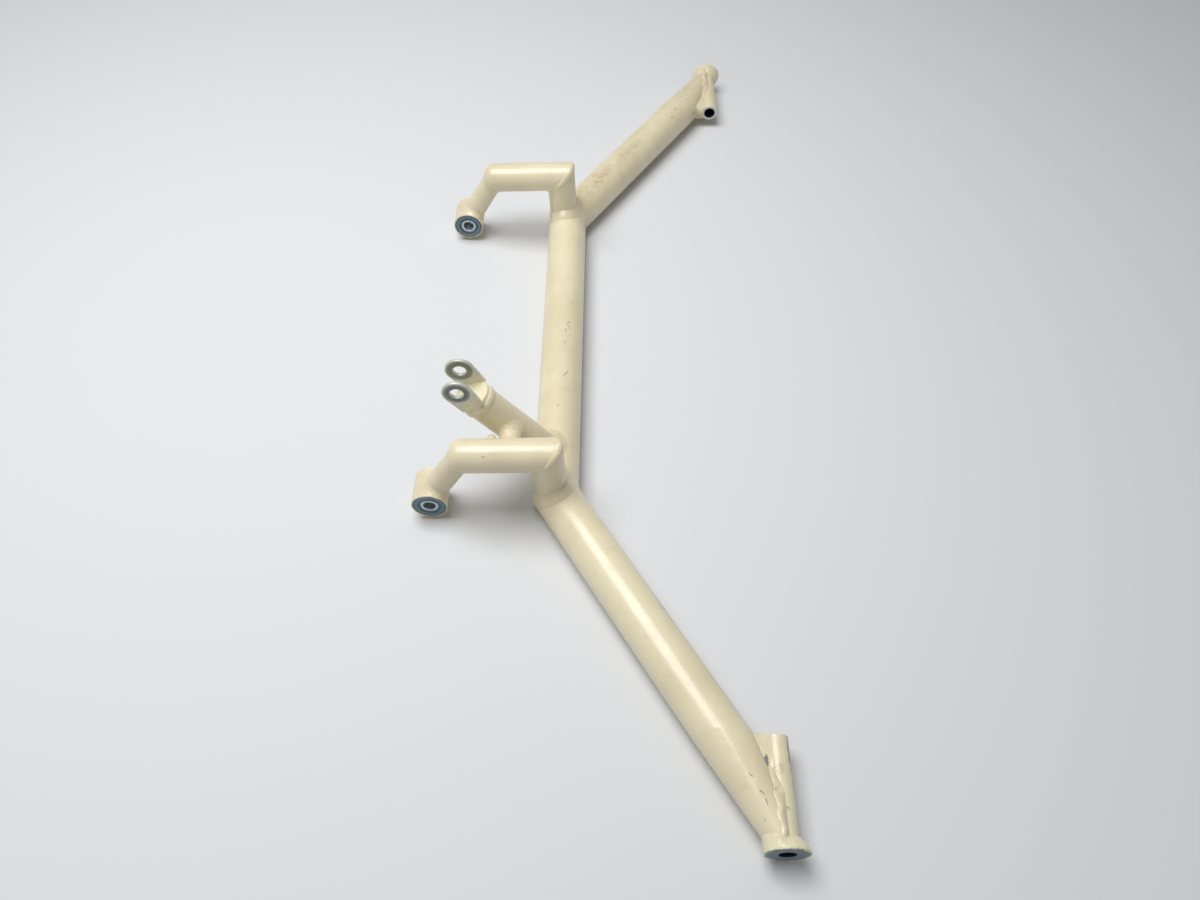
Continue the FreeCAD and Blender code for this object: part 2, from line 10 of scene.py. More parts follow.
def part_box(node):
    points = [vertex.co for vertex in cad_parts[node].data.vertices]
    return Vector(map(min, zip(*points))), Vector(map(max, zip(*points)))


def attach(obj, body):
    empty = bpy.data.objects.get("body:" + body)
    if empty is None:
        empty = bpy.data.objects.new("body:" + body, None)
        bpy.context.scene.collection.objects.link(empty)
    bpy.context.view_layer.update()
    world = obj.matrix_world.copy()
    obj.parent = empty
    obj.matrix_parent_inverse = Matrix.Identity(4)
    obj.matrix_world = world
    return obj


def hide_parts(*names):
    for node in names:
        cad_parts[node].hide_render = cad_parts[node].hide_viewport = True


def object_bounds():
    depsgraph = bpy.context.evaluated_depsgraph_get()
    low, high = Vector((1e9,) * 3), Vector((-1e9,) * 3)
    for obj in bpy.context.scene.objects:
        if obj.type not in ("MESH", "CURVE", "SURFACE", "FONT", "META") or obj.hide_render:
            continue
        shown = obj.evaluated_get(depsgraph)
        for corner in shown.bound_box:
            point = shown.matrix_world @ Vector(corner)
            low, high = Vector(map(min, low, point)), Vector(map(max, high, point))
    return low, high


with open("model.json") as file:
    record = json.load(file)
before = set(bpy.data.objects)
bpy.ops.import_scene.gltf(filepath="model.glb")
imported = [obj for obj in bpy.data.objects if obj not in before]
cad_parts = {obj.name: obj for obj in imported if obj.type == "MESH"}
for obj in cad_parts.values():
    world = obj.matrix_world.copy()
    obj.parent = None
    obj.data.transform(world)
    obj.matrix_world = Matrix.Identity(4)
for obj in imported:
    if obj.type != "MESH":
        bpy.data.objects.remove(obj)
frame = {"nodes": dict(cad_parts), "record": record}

bl_info = {
    "name": "Control column cross member",
    "version": (1, 0, 0),
    "blender": (4, 5, 0),
    "location": "View3D > Sidebar > Cross member",
    "description": "Dresses the welded cross member of a light aircraft's dual control columns",
    "category": "Object",
}

MM = 0.001
CAD_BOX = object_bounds()
NODES = frame["nodes"]
BODY = "cross_member"
SIDES = {"right": 1, "left": -1}

# Axes of the tubes, in metres, from the frame and the part's driving dimensions
TUBE_LOW, TUBE_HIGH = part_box("centre_tube")
PIVOT_LOW, PIVOT_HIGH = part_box("right_bearing_housing")
SLEEVE_LOW, SLEEVE_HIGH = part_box("right_sleeve")
DISC_LOW, DISC_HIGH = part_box("right_end_disc")
AXIS = (TUBE_LOW + TUBE_HIGH) / 2
PIVOT = (PIVOT_LOW + PIVOT_HIGH) / 2
SLEEVE = (SLEEVE_LOW + SLEEVE_HIGH) / 2
MAIN_RADIUS = (TUBE_HIGH.z - TUBE_LOW.z) / 2
HOUSING_RADIUS = (PIVOT_HIGH.z - PIVOT_LOW.z) / 2
HOUSING_HALF = (PIVOT_HIGH.y - PIVOT_LOW.y) / 2
SLEEVE_RADIUS = (SLEEVE_HIGH.z - SLEEVE_LOW.z) / 2
DISC_RADIUS = (DISC_HIGH.z - DISC_LOW.z) / 2
HALF_SPAN = 160 * MM
ARM_SWEEP = math.radians(31.8)
FORM_START = SLEEVE_LOW.y - 0.2 * MM
SLEEVE_STEP = 34.0 * MM
TIP_RADIUS = 10.2 * MM
SEAM = 2.8 * MM
CRANK_RADIUS = 12.7 * MM
CRANK_LEAN = math.radians(3.37)
CRANK_FOOT = 3.3 * MM
CRANK_HEIGHT = 51.0 * MM
CROSS_REACH = 61.2 * MM
CROSS_OVERHANG = 9.1 * MM
CROSS_ROUND = 9.0 * MM
DROP_RADIUS = 9.525 * MM
ROD_ARM_STATION = 125.6 * MM
ROD_ARM_RISE = math.radians(50.8)
ROD_ARM_LENGTH = 88.5 * MM
PIN_REACH = 24.7 * MM
PIN_RISE = 2.9 * MM
STUB_RADIUS = 7.9375 * MM
STUB_REACH = 33.3 * MM
STUB_HEIGHT = 44.6 * MM
TACK = (46.5 * MM, 50.5 * MM, 3.5 * MM)
SLEEVE_BORE = 5.55625 * MM
SEGMENTS = 128

# Sections of the weld beads
BEAD_STATIONS = 150
BEAD_STEPS = 14
BOW = 1.6 * MM
DIVE = 0.35 * MM
PROUD = 0.08 * MM
CORE = 1.5 * MM

# How far along a branch the search for the foot of its weld starts
BRANCH_SEARCH = 40 * MM
HOUSING_SEARCH = 30 * MM
STUB_SEARCH = 16 * MM

# Skirt of weld behind the end disc, and its lobe on the arm's side
SKIRT_STATIONS = 180
SKIRT = 6.8 * MM
LOBE = 0.8 * MM
LOBE_RADIUS = 14.4 * MM
DISC_EDGE = 14.35 * MM

# Fairing of weld along the formed arm and its sleeve: a filled notch that narrows to a ridge
FAIRING_STATIONS = 110
RIDGE = 0.9 * MM
RIDGE_START = 0.30
RIDGE_GROWTH = 0.25
WANDER = 0.7 * MM
WALL_MIDDLE = 6.8 * MM

# Stage: lamp and camera, in metres; the camera's axes are unit vectors
FLOOR_HALF = 6.0
LAMP_SIZE = 0.9
LAMP_PLACE = (-0.38, 0.05, 1.35)
CAMERA_PLACE = (-0.00817, -0.55985, 0.60990)
CAMERA_RIGHT = (0.99953, 0.00819, 0.02954)
CAMERA_DOWN = (0.02426, -0.80043, -0.59894)
SENSOR_WIDTH = 36.0

# Near-black painted shade for the insides of the sleeves' and discs' bores
BORE_SHADE = (0.02, 0.022, 0.025)
SLOTS = {part["node"]: part["material_slot"] for part in frame["record"]["subparts"]}


def clamped(value):
    return min(max(value, 0.0), 1.0)


def eased(value):
    """Smooth rise from 0 to 1, level at both ends."""
    value = clamped(value)
    return value * value * (3 - 2 * value)


class Bar:
    """A round bar: a point on its axis, its direction and its radius."""

    def __init__(self, point, direction, radius):
        self.point = Vector(point)
        self.direction = Vector(direction).normalized()
        self.radius = radius
        self.side = self.direction.orthogonal().normalized()
        self.up = self.direction.cross(self.side)

    def out(self, turn):
        """Unit vector out from the axis at one angle round it."""
        return self.side * math.cos(turn) + self.up * math.sin(turn)

    def at(self, along, turn, inset=0.0):
        return self.point + self.direction * along + self.out(turn) * (self.radius - inset)

    def depth(self, point):
        """Distance outside the bar, less than 0 inside it."""
        offset = point - self.point
        return (offset - self.direction * offset.dot(self.direction)).length - self.radius


class RoundedBar(Bar):
    """A bar whose far end is closed and rounded."""

    def __init__(self, point, direction, radius, length, rounding):
        super().__init__(point, direction, radius)
        self.length = length
        self.rounding = rounding

    def depth(self, point):
        offset = point - self.point
        along = offset.dot(self.direction)
        across = (offset - self.direction * along).length
        wide = across - (self.radius - self.rounding)
        far = along - (self.length - self.rounding)
        return math.hypot(max(wide, 0), max(far, 0)) + min(max(wide, far), 0) - self.rounding


class Elbow:
    """Two bars that meet at a mitre plane."""

    def __init__(self, first, second):
        self.first = first
        self.second = second
        self.plane = (first.direction + second.direction).normalized()
        self.centre = second.point

    def depth(self, point):
        beyond = (point - self.centre).dot(self.plane) > 0
        return (self.second if beyond else self.first).depth(point)


def outward(body, point):
    """Unit vector straight out of a body's surface."""
    step = 0.01 * MM
    slopes = []
    for axis in Matrix.Identity(3):
        slopes.append(body.depth(point + axis * step) - body.depth(point - axis * step))
    return Vector(slopes).normalized()


def settle(body, point):
    """Bring a point onto a body's surface."""
    for _ in range(3):
        point = point - outward(body, point) * body.depth(point)
    return point


def tubes(side):
    """The bars of one side's arm and crank; side is 1 for the right and -1 for the left."""
    y = side * HALF_SPAN
    foot = Vector((AXIS.x - CRANK_FOOT, y, AXIS.z))
    up = Vector((-math.sin(CRANK_LEAN), 0, math.cos(CRANK_LEAN)))
    along = Vector((-math.cos(CRANK_LEAN), 0, -math.sin(CRANK_LEAN)))
    corner = foot + up * CRANK_HEIGHT
    elbow = corner + along * CROSS_REACH
    pivot = Vector((PIVOT.x, y, PIVOT.z))
    mitre = Vector((AXIS.x, y, AXIS.z))
    centre = Bar(mitre, (0, side, 0), MAIN_RADIUS)
    arm = Bar(mitre, (math.sin(ARM_SWEEP), side * math.cos(ARM_SWEEP), 0), MAIN_RADIUS)
    cross = RoundedBar(corner, along, CRANK_RADIUS, CROSS_REACH + CROSS_OVERHANG, CROSS_ROUND)
    return {
        "main": Elbow(centre, arm),
        "upright": Bar(foot, up, CRANK_RADIUS),
        "cross": cross,
        "crank": Elbow(Bar(corner, up, CRANK_RADIUS), cross),
        "drop": Bar(pivot, elbow - pivot, DROP_RADIUS),
        "drop_length": (elbow - pivot).length,
        "housing": Bar(pivot, (0, 1, 0), HOUSING_RADIUS),
    }


ROD_ARM = Bar(
    (AXIS.x, -ROD_ARM_STATION, AXIS.z),
    (-math.cos(ROD_ARM_RISE), 0, math.sin(ROD_ARM_RISE)),
    CRANK_RADIUS,
)
STUB = Bar((AXIS.x - STUB_REACH, -ROD_ARM_STATION, AXIS.z + STUB_HEIGHT), (0, -1, 0), STUB_RADIUS)
ROD_UP = Vector((math.sin(ROD_ARM_RISE), 0, math.cos(ROD_ARM_RISE)))
PIN = ROD_ARM.point + ROD_ARM.direction * (ROD_ARM_LENGTH + PIN_REACH) + ROD_UP * PIN_RISE

# Wear: centre and long way in the part's frame, then half length and half width, all in millimetres
SCUFFS = (
    ((-22.3, -49.7, 34.1), (0.35, 0.9, 0), 4.6, 0.45),
    ((-24.4, -53.0, 34.6), (0.35, 0.9, 0), 4.0, 0.40),
    ((-22.9, 6.0, 34.2), (0.5, 0.8, 0), 5.0, 0.45),
    ((-24.9, -3.4, 34.6), (0.2, 0.9, 0), 3.4, 0.40),
    ((-21.9, 0.6, 33.9), (-0.3, 0.9, 0), 3.2, 0.35),
    ((-25.0, -16.8, 34.7), (0.6, 0.7, 0), 1.4, 0.5),
    ((-28.4, -85.6, 34.9), (0.3, 0.9, 0), 2.2, 0.4),
    ((-78.2, -168.2, 75.5), (1, 0.2, 0), 1.2, 0.45),
    ((100.3, -373.7, 31.8), (0.8, -0.6, 0), 2.2, 0.4),
    ((106.3, -383.6, 30.8), (0.7, -0.7, 0), 2.6, 0.5),
    ((108.9, -389.3, 30.2), (0.3, -0.9, 0), 3.0, 0.4),
    ((107.2, -399.1, 27.4), (0.3, -0.9, 0), 3.0, 0.35),
    ((115.5, -381.1, 27.1), (0.3, -0.9, 0), 1.1, 0.6),
    ((122.6, -391.1, 25.2), (0.7, -0.7, 0), 2.4, 0.5),
    ((96.0, 345.7, 33.3), (0.5, 0.8, 0), 1.4, 0.8),
    ((81.1, 325.3, 34.1), (0.9, 0.3, 0), 1.6, 0.8),
    ((77.6, 313.1, 32.5), (0.3, 0.9, 0), 1.4, 0.9),
)
CHIPS = (
    ((-100.5, -169.3, 73.1), (0.2, -0.6, -0.7), 2.2, 0.8),
    ((112.4, -362.2, 24.3), (0.1, -1, 0), 4.4, 1.4),
    ((127.6, -355.5, 21.6), (0, 1, 0), 11.0, 1.5),
    ((128.2, -374.0, 20.4), (0, 1, 0), 9.0, 0.7),
    ((103.5, 339.1, 21.0), (0.3, 0.9, 0), 2.0, 1.2),
)
STAINS = (
    ((2.0, 205.0, 32.6), (0.53, 0.85, 0), 48.0, 9.0),
    ((30.0, 250.0, 33.0), (0.53, 0.85, 0), 40.0, 7.0),
    ((51.5, -260.0, 26.9), (0.53, -0.85, 0), 26.0, 5.0),
    ((120.5, -368.0, 25.2), (0.3, -0.9, 0), 8.0, 5.5),
    ((128.4, 404.0, 26.0), (0.1, 1, 0), 5.0, 3.0),
)


class WeldSizes(bpy.types.PropertyGroup):
    foot: FloatProperty(
        name="Foot leg", description="Reach of the welds at the feet of the cranks and the push rod arm",
        default=6.5 * MM, unit="LENGTH",
    )
    corner: FloatProperty(
        name="Corner leg", description="Half width of the welds over the cranks' corners",
        default=2.8 * MM, unit="LENGTH",
    )
    corner_round: FloatProperty(
        name="Corner rounding", description="Extra half width at the outside of the cranks' corners",
        default=2.8 * MM, unit="LENGTH",
    )
    leg: FloatProperty(
        name="Fillet leg", description="Reach of the smaller welds", default=4.0 * MM, unit="LENGTH",
    )
    fullness: FloatProperty(
        name="Fullness", description="0 for a hollow fillet and 1 for a flat one", default=0.9,
    )
    pitch: FloatProperty(
        name="Ripple pitch", description="Distance from one weld ripple to the next",
        default=2.4 * MM, min=0.5 * MM, unit="LENGTH",
    )
    ripple: FloatProperty(
        name="Ripple", description="Height of the ripples under the paint",
        default=0.10 * MM, unit="LENGTH",
    )
    lump: FloatProperty(
        name="Lump", description="Height of the uneven lumps", default=1.0 * MM, unit="LENGTH",
    )
    lump_scale: FloatProperty(
        name="Lump scale", description="Lumps to the metre", default=120.0, min=1.0,
    )
    seed: FloatProperty(name="Seed", description="Fixed seed of the lumps", default=3.0)


class FinishColours(bpy.types.PropertyGroup):
    enamel: FloatVectorProperty(
        name="Enamel", description="Aged tan enamel of the tubes",
        default=(0.70, 0.60, 0.395), size=3, subtype="COLOR", min=0, max=1,
    )
    enamel_light: FloatVectorProperty(
        name="Enamel, light", description="Paler, yellower places in the enamel",
        default=(0.81, 0.735, 0.515), size=3, subtype="COLOR", min=0, max=1,
    )
    grime: FloatVectorProperty(
        name="Grime", description="Brown film and stains on the enamel",
        default=(0.30, 0.19, 0.11), size=3, subtype="COLOR", min=0, max=1,
    )
    bare: FloatVectorProperty(
        name="Bare steel", description="Dull steel under the enamel and on the fork's ears",
        default=(0.30, 0.30, 0.23), size=3, subtype="COLOR", min=0, max=1,
    )
    ring: FloatVectorProperty(
        name="Inner rings", description="Bright blue-grey steel of the bearings' inner rings",
        default=(0.56, 0.64, 0.68), size=3, subtype="COLOR", min=0, max=1,
    )
    shield: FloatVectorProperty(
        name="Dark steel", description="Dark blue-grey steel of the shields, faces and ring marks",
        default=(0.10, 0.155, 0.195), size=3, subtype="COLOR", min=0, max=1,
    )
    worn: FloatVectorProperty(
        name="Worn edge", description="Pale yellow of the end discs' worn edges",
        default=(0.80, 0.80, 0.50), size=3, subtype="COLOR", min=0, max=1,
    )
    rim: FloatVectorProperty(
        name="Broken edges", description="Pale worn edges of the fork's ears",
        default=(0.62, 0.65, 0.57), size=3, subtype="COLOR", min=0, max=1,
    )
    chip: FloatVectorProperty(
        name="Chip", description="Dark blue-grey steel where the enamel is gone",
        default=(0.13, 0.165, 0.19), size=3, subtype="COLOR", min=0, max=1,
    )
    scuff: FloatVectorProperty(
        name="Scuff", description="Grey rub marks on the enamel",
        default=(0.20, 0.19, 0.17), size=3, subtype="COLOR", min=0, max=1,
    )


class StageSettings(bpy.types.PropertyGroup):
    floor: FloatVectorProperty(
        name="Floor", description="Pale floor under the part",
        default=(0.72, 0.73, 0.75), size=3, subtype="COLOR", min=0, max=1,
    )
    key: FloatProperty(
        name="Key lamp", description="Power of the large lamp above", default=18.5, unit="POWER",
    )
    fill: FloatProperty(name="World", description="Strength of the even light all round", default=0.25)
    lens: FloatProperty(
        name="Lens", description="Focal length for a 36 mm sensor", default=28.104, unit="CAMERA",
    )


class Shader:
    """Shorthand for laying out the node tree of one material."""

    def __init__(self, name):
        self.material = bpy.data.materials.new(name)
        self.material.use_nodes = True
        self.tree = self.material.node_tree
        self.principled = self.tree.nodes["Principled BSDF"]
        self.place = self.node("ShaderNodeTexCoord").outputs["Object"]

    def node(self, kind, **settings):
        made = self.tree.nodes.new(kind)
        for key, value in settings.items():
            setattr(made, key, value)
        return made

    def feed(self, socket, value):
        """Link a socket, or set it to a plain value."""
        if isinstance(value, bpy.types.NodeSocket):
            self.tree.links.new(value, socket)
        else:
            socket.default_value = value

    def noise(self, scale, detail=3.0, roughness=0.5):
        made = self.node("ShaderNodeTexNoise")
        self.feed(made.inputs["Vector"], self.place)
        made.inputs["Scale"].default_value = scale
        made.inputs["Detail"].default_value = detail
        made.inputs["Roughness"].default_value = roughness
        return made.outputs["Fac"]

    def spread(self, value, low, high, to_low=0.0, to_high=1.0):
        """Smooth step between two values."""
        made = self.node("ShaderNodeMapRange", interpolation_type="SMOOTHSTEP")
        self.feed(made.inputs["Value"], value)
        made.inputs["From Min"].default_value = low
        made.inputs["From Max"].default_value = high
        made.inputs["To Min"].default_value = to_low
        made.inputs["To Max"].default_value = to_high
        return made.outputs["Result"]

    def maths(self, operation, first, second=0.0):
        made = self.node("ShaderNodeMath", operation=operation)
        self.feed(made.inputs[0], first)
        self.feed(made.inputs[1], second)
        return made.outputs[0]

    def mix(self, share, first, second):
        made = self.node("ShaderNodeMix", data_type="RGBA")
        self.feed(made.inputs["Factor"], share)
        for socket, value in ((made.inputs[6], first), (made.inputs[7], second)):
            linked = isinstance(value, bpy.types.NodeSocket)
            self.feed(socket, value if linked else (*value[:3], 1.0))
        return made.outputs[2]

    def blend(self, share, first, second):
        made = self.node("ShaderNodeMix", data_type="FLOAT")
        self.feed(made.inputs["Factor"], share)
        self.feed(made.inputs[2], first)
        self.feed(made.inputs[3], second)
        return made.outputs[0]

    def bump(self, height, distance, under=None):
        made = self.node("ShaderNodeBump")
        made.inputs["Strength"].default_value = 1.0
        made.inputs["Distance"].default_value = distance
        self.feed(made.inputs["Height"], height)
        if under:
            self.feed(made.inputs["Normal"], under)
        return made.outputs["Normal"]

    def radius(self, centre):
        """Distance from an axis along Y through a centre."""
        spot = self.node("ShaderNodeVectorMath", operation="SUBTRACT")
        self.feed(spot.inputs[0], self.place)
        spot.inputs[1].default_value = centre
        flat = self.node("ShaderNodeVectorMath", operation="MULTIPLY")
        self.feed(flat.inputs[0], spot.outputs["Vector"])
        flat.inputs[1].default_value = (1.0, 0.0, 1.0)
        length = self.node("ShaderNodeVectorMath", operation="LENGTH")
        self.feed(length.inputs[0], flat.outputs["Vector"])
        return length.outputs["Value"]

    def station(self):
        """Distance from the middle plane, along Y."""
        apart = self.node("ShaderNodeSeparateXYZ")
        self.feed(apart.inputs["Vector"], self.place)
        return self.maths("ABSOLUTE", apart.outputs["Y"])

    def along(self, centre, way):
        """Distance from a centre, along a unit vector."""
        made = self.node("ShaderNodeVectorMath", operation="DOT_PRODUCT")
        self.feed(made.inputs[0], self.place)
        made.inputs[1].default_value = way
        return self.maths("SUBTRACT", made.outputs["Value"], Vector(centre).dot(Vector(way)))

    def marks(self, marks, fray=0.5, fray_scale=700.0, core=0.75):
        """Mask of 1 inside any of some oval marks, fading out from their core to their edge."""
        nearest = None
        for centre, heading, half_length, half_width in marks:
            mapping = self.node("ShaderNodeMapping", vector_type="TEXTURE")
            self.feed(mapping.inputs["Vector"], self.place)
            mapping.inputs["Location"].default_value = Vector(centre) * MM
            turn = Vector(heading).to_track_quat("X", "Z").to_euler()
            mapping.inputs["Rotation"].default_value = turn
            halves = Vector((half_length, half_width, half_width))
            mapping.inputs["Scale"].default_value = halves * MM
            length = self.node("ShaderNodeVectorMath", operation="LENGTH")
            self.feed(length.inputs[0], mapping.outputs["Vector"])
            away = length.outputs["Value"]
            nearest = away if nearest is None else self.maths("MINIMUM", nearest, away)
        edge = self.spread(self.noise(fray_scale, 4.0, 0.6), 0.3, 0.7, -fray, fray)
        return self.spread(self.maths("ADD", nearest, edge), core, 1.05, 1.0, 0.0)

    def finish(self, colour, roughness, metallic=0.0, normal=None, coat=0.0):
        self.feed(self.principled.inputs["Base Color"], colour)
        self.feed(self.principled.inputs["Roughness"], roughness)
        self.feed(self.principled.inputs["Metallic"], metallic)
        self.principled.inputs["Coat Weight"].default_value = coat
        self.principled.inputs["Coat Roughness"].default_value = 0.16
        if normal:
            self.feed(self.principled.inputs["Normal"], normal)
        return self.material


def enamel_look(shader, colours):
    """Colour, roughness and normal of the aged enamel."""
    drift = shader.spread(shader.noise(14.0, 3.0, 0.55), 0.38, 0.62)
    paint = shader.mix(drift, colours.enamel, colours.enamel_light)
    paint = shader.mix(0.45, paint, colours.enamel_light)
    film = shader.spread(shader.noise(70.0, 6.0, 0.7), 0.52, 0.80, 0.0, 0.22)
    paint = shader.mix(film, paint, colours.grime)
    speck = shader.spread(shader.noise(900.0, 2.0, 0.6), 0.72, 0.78, 0.0, 0.5)
    paint = shader.mix(speck, paint, colours.grime)
    streaks = shader.spread(shader.noise(260.0, 4.0, 0.65), 0.42, 0.72, 0.20, 0.62)
    stains = shader.maths("MULTIPLY", shader.marks(STAINS, 0.35, 90.0, core=0.0), streaks)
    paint = shader.mix(stains, paint, colours.grime)
    rubbed = shader.maths("MULTIPLY", shader.marks(SCUFFS, 0.35, 900.0), 0.7)
    paint = shader.mix(rubbed, paint, colours.scuff)
    chips = shader.marks(CHIPS, 0.4, 500.0)
    paint = shader.mix(shader.maths("MULTIPLY", chips, 0.85), paint, colours.chip)
    sheen = shader.spread(shader.noise(40.0, 4.0, 0.6), 0.3, 0.7, 0.30, 0.44)
    skin = shader.bump(shader.noise(420.0, 3.0, 0.55), 0.00012)
    skin = shader.bump(shader.noise(55.0, 2.0, 0.5), 0.0005, under=skin)
    skin = shader.bump(shader.maths("SUBTRACT", 1.0, chips), 0.0001, under=skin)
    return paint, sheen, skin


def enamel_material(name, colours):
    """Aged tan enamel with soft colour drift, a brown film, fine texture, scuffs and chips."""
    shader = Shader(name)
    paint, sheen, skin = enamel_look(shader, colours)
    return shader.finish(paint, sheen, normal=skin, coat=0.35)


def steel_material(name, colour, roughness=0.38, dirt=(0.06, 0.05, 0.04), dirt_share=0.5):
    """Worn steel with fine scratches and dirt in patches."""
    shader = Shader(name)
    patches = shader.spread(shader.noise(320.0, 5.0, 0.65), 0.45, 0.72, 0.0, dirt_share)
    cloud = shader.spread(shader.noise(160.0, 3.0, 0.5), 0.3, 0.7)
    tone = shader.mix(cloud, colour, [c * 0.8 for c in colour])
    tone = shader.mix(patches, tone, dirt)
    rub = shader.noise(500.0, 4.0, 0.6)
    gloss = shader.spread(rub, 0.3, 0.7, roughness - 0.08, roughness + 0.14)
    metal = shader.spread(patches, 0.0, 0.6, 0.95, 0.35)
    scratches = shader.bump(shader.noise(1500.0, 3.0, 0.6), 0.00008)
    return shader.finish(tone, gloss, metal, scratches)


def ring_material(name, colours):
    """Bright inner rings, and outer rings as dark as the housing's face."""
    shader = Shader(name)
    outer = shader.spread(shader.radius(PIVOT), 8.2 * MM, 8.8 * MM)
    tone = shader.mix(outer, colours.ring, [c * 1.5 for c in colours.shield])
    tarnish = shader.spread(shader.noise(320.0, 5.0, 0.65), 0.5, 0.75, 0.0, 0.4)
    tone = shader.mix(tarnish, tone, colours.shield)
    scratches = shader.bump(shader.noise(1500.0, 3.0, 0.6), 0.00008)
    return shader.finish(tone, 0.3, 0.6, scratches)


def fork_material(name, colours):
    """Dull steel ears with pale rims and dark ring marks round the pin, and enamel below them."""
    shader = Shader(name)
    away = shader.radius(PIN)
    back = shader.along(PIN, -ROD_ARM.direction)
    fray = shader.spread(shader.noise(380.0, 3.0, 0.6), 0.3, 0.7, -0.8 * MM, 0.8 * MM)
    painted = shader.spread(shader.maths("ADD", back, fray), 11.6 * MM, 12.8 * MM)
    cloud = shader.noise(420.0, 4.0, 0.6)
    steel = shader.mix(cloud, colours.bare, [c * 0.78 for c in colours.bare])
    outside = shader.spread(shader.along(PIN, (0, -1, 0)), 10.5 * MM, 11.0 * MM, 0.1, 0.85)
    ring = shader.maths("MULTIPLY", outside, shader.spread(away, 5.3 * MM, 5.8 * MM))
    ring = shader.maths("MULTIPLY", ring, shader.spread(away, 7.9 * MM, 7.4 * MM))
    steel = shader.mix(ring, steel, colours.shield)
    across = shader.maths("ABSOLUTE", shader.along(PIN, ROD_UP))
    rim = shader.spread(shader.maths("MAXIMUM", away, across), 8.9 * MM, 9.8 * MM)
    bore = shader.spread(away, 5.3 * MM, 4.9 * MM)
    steel = shader.mix(shader.maths("MAXIMUM", rim, bore), steel, colours.rim)
    tone = shader.mix(painted, steel, colours.enamel_light)
    metal = shader.blend(painted, 0.35, 0.0)
    grain = shader.bump(shader.noise(700.0, 3.0, 0.6), 0.00012)
    return shader.finish(tone, 0.42, metal, grain, coat=0.15)


def housing_material(name, colours):
    """Enamel outside and bare blue-grey steel on the end faces."""
    shader = Shader(name)
    off = shader.maths("ABSOLUTE", shader.maths("SUBTRACT", shader.station(), HALF_SPAN))
    face = shader.spread(off, HOUSING_HALF - 0.12 * MM, HOUSING_HALF - 0.04 * MM)
    fray = shader.spread(shader.noise(260.0, 3.0, 0.6), 0.3, 0.7, -0.25 * MM, 0.25 * MM)
    away = shader.maths("ADD", shader.radius(PIVOT), fray)
    inside = shader.spread(away, HOUSING_RADIUS - 0.5 * MM, HOUSING_RADIUS - 0.8 * MM)
    bare = shader.maths("MULTIPLY", face, inside)
    paint, sheen, skin = enamel_look(shader, colours)
    tone = shader.mix(bare, paint, colours.shield)
    gloss, metal = shader.blend(bare, sheen, 0.35), shader.blend(bare, 0.0, 0.5)
    return shader.finish(tone, gloss, metal, skin, coat=0.25)


def sleeve_material(name, colours):
    """Enamel outside, a pale bare end and near-black painted shade in the bore."""
    shader = Shader(name)
    away = shader.radius(SLEEVE)
    end = shader.spread(shader.station(), FORM_START + 0.5 * MM, FORM_START + 0.3 * MM)
    bore = shader.spread(away, 5.9 * MM, 5.7 * MM)
    paint, sheen, skin = enamel_look(shader, colours)
    tone = shader.mix(shader.maths("MULTIPLY", end, 0.8), paint, colours.ring)
    # Near-black painted shade over the bore
    tone = shader.mix(bore, tone, BORE_SHADE)
    return shader.finish(tone, shader.blend(bore, sheen, 0.6), 0.0, skin, coat=0.3)


def disc_material(name, colours):
    """Blue-grey steel face, chipped pale edge, near-black painted shade in the bore and enamel behind
    it.
    """
    shader = Shader(name)
    away = shader.radius(SLEEVE)
    face = shader.spread(shader.station(), DISC_HIGH.y - 0.35 * MM, DISC_HIGH.y - 0.20 * MM)
    fray = shader.spread(shader.noise(330.0, 4.0, 0.7), 0.35, 0.65, -1.2 * MM, 1.2 * MM)
    frayed = shader.maths("ADD", away, fray)
    edge = shader.spread(frayed, DISC_RADIUS - 1.3 * MM, DISC_RADIUS - 0.5 * MM)
    station = shader.maths("ADD", shader.station(), fray)
    near_face = shader.spread(station, DISC_HIGH.y - 2.6 * MM, DISC_HIGH.y - 1.2 * MM)
    edge = shader.maths("MULTIPLY", edge, near_face)
    bore = shader.spread(away, 5.9 * MM, 5.7 * MM)
    paint, sheen, skin = enamel_look(shader, colours)
    cloud = shader.noise(240.0, 4.0, 0.6)
    steel = shader.mix(cloud, [c * 1.5 for c in colours.shield], colours.shield)
    # Near-black painted shade over the bore
    steel = shader.mix(bore, steel, BORE_SHADE)
    tone = shader.mix(shader.maths("MAXIMUM", face, bore), paint, steel)
    tone = shader.mix(shader.maths("MULTIPLY", edge, 0.75), tone, colours.worn)
    gloss, metal = shader.blend(face, sheen, 0.4), shader.blend(face, 0.0, 0.3)
    return shader.finish(tone, gloss, metal, skin, coat=0.2)


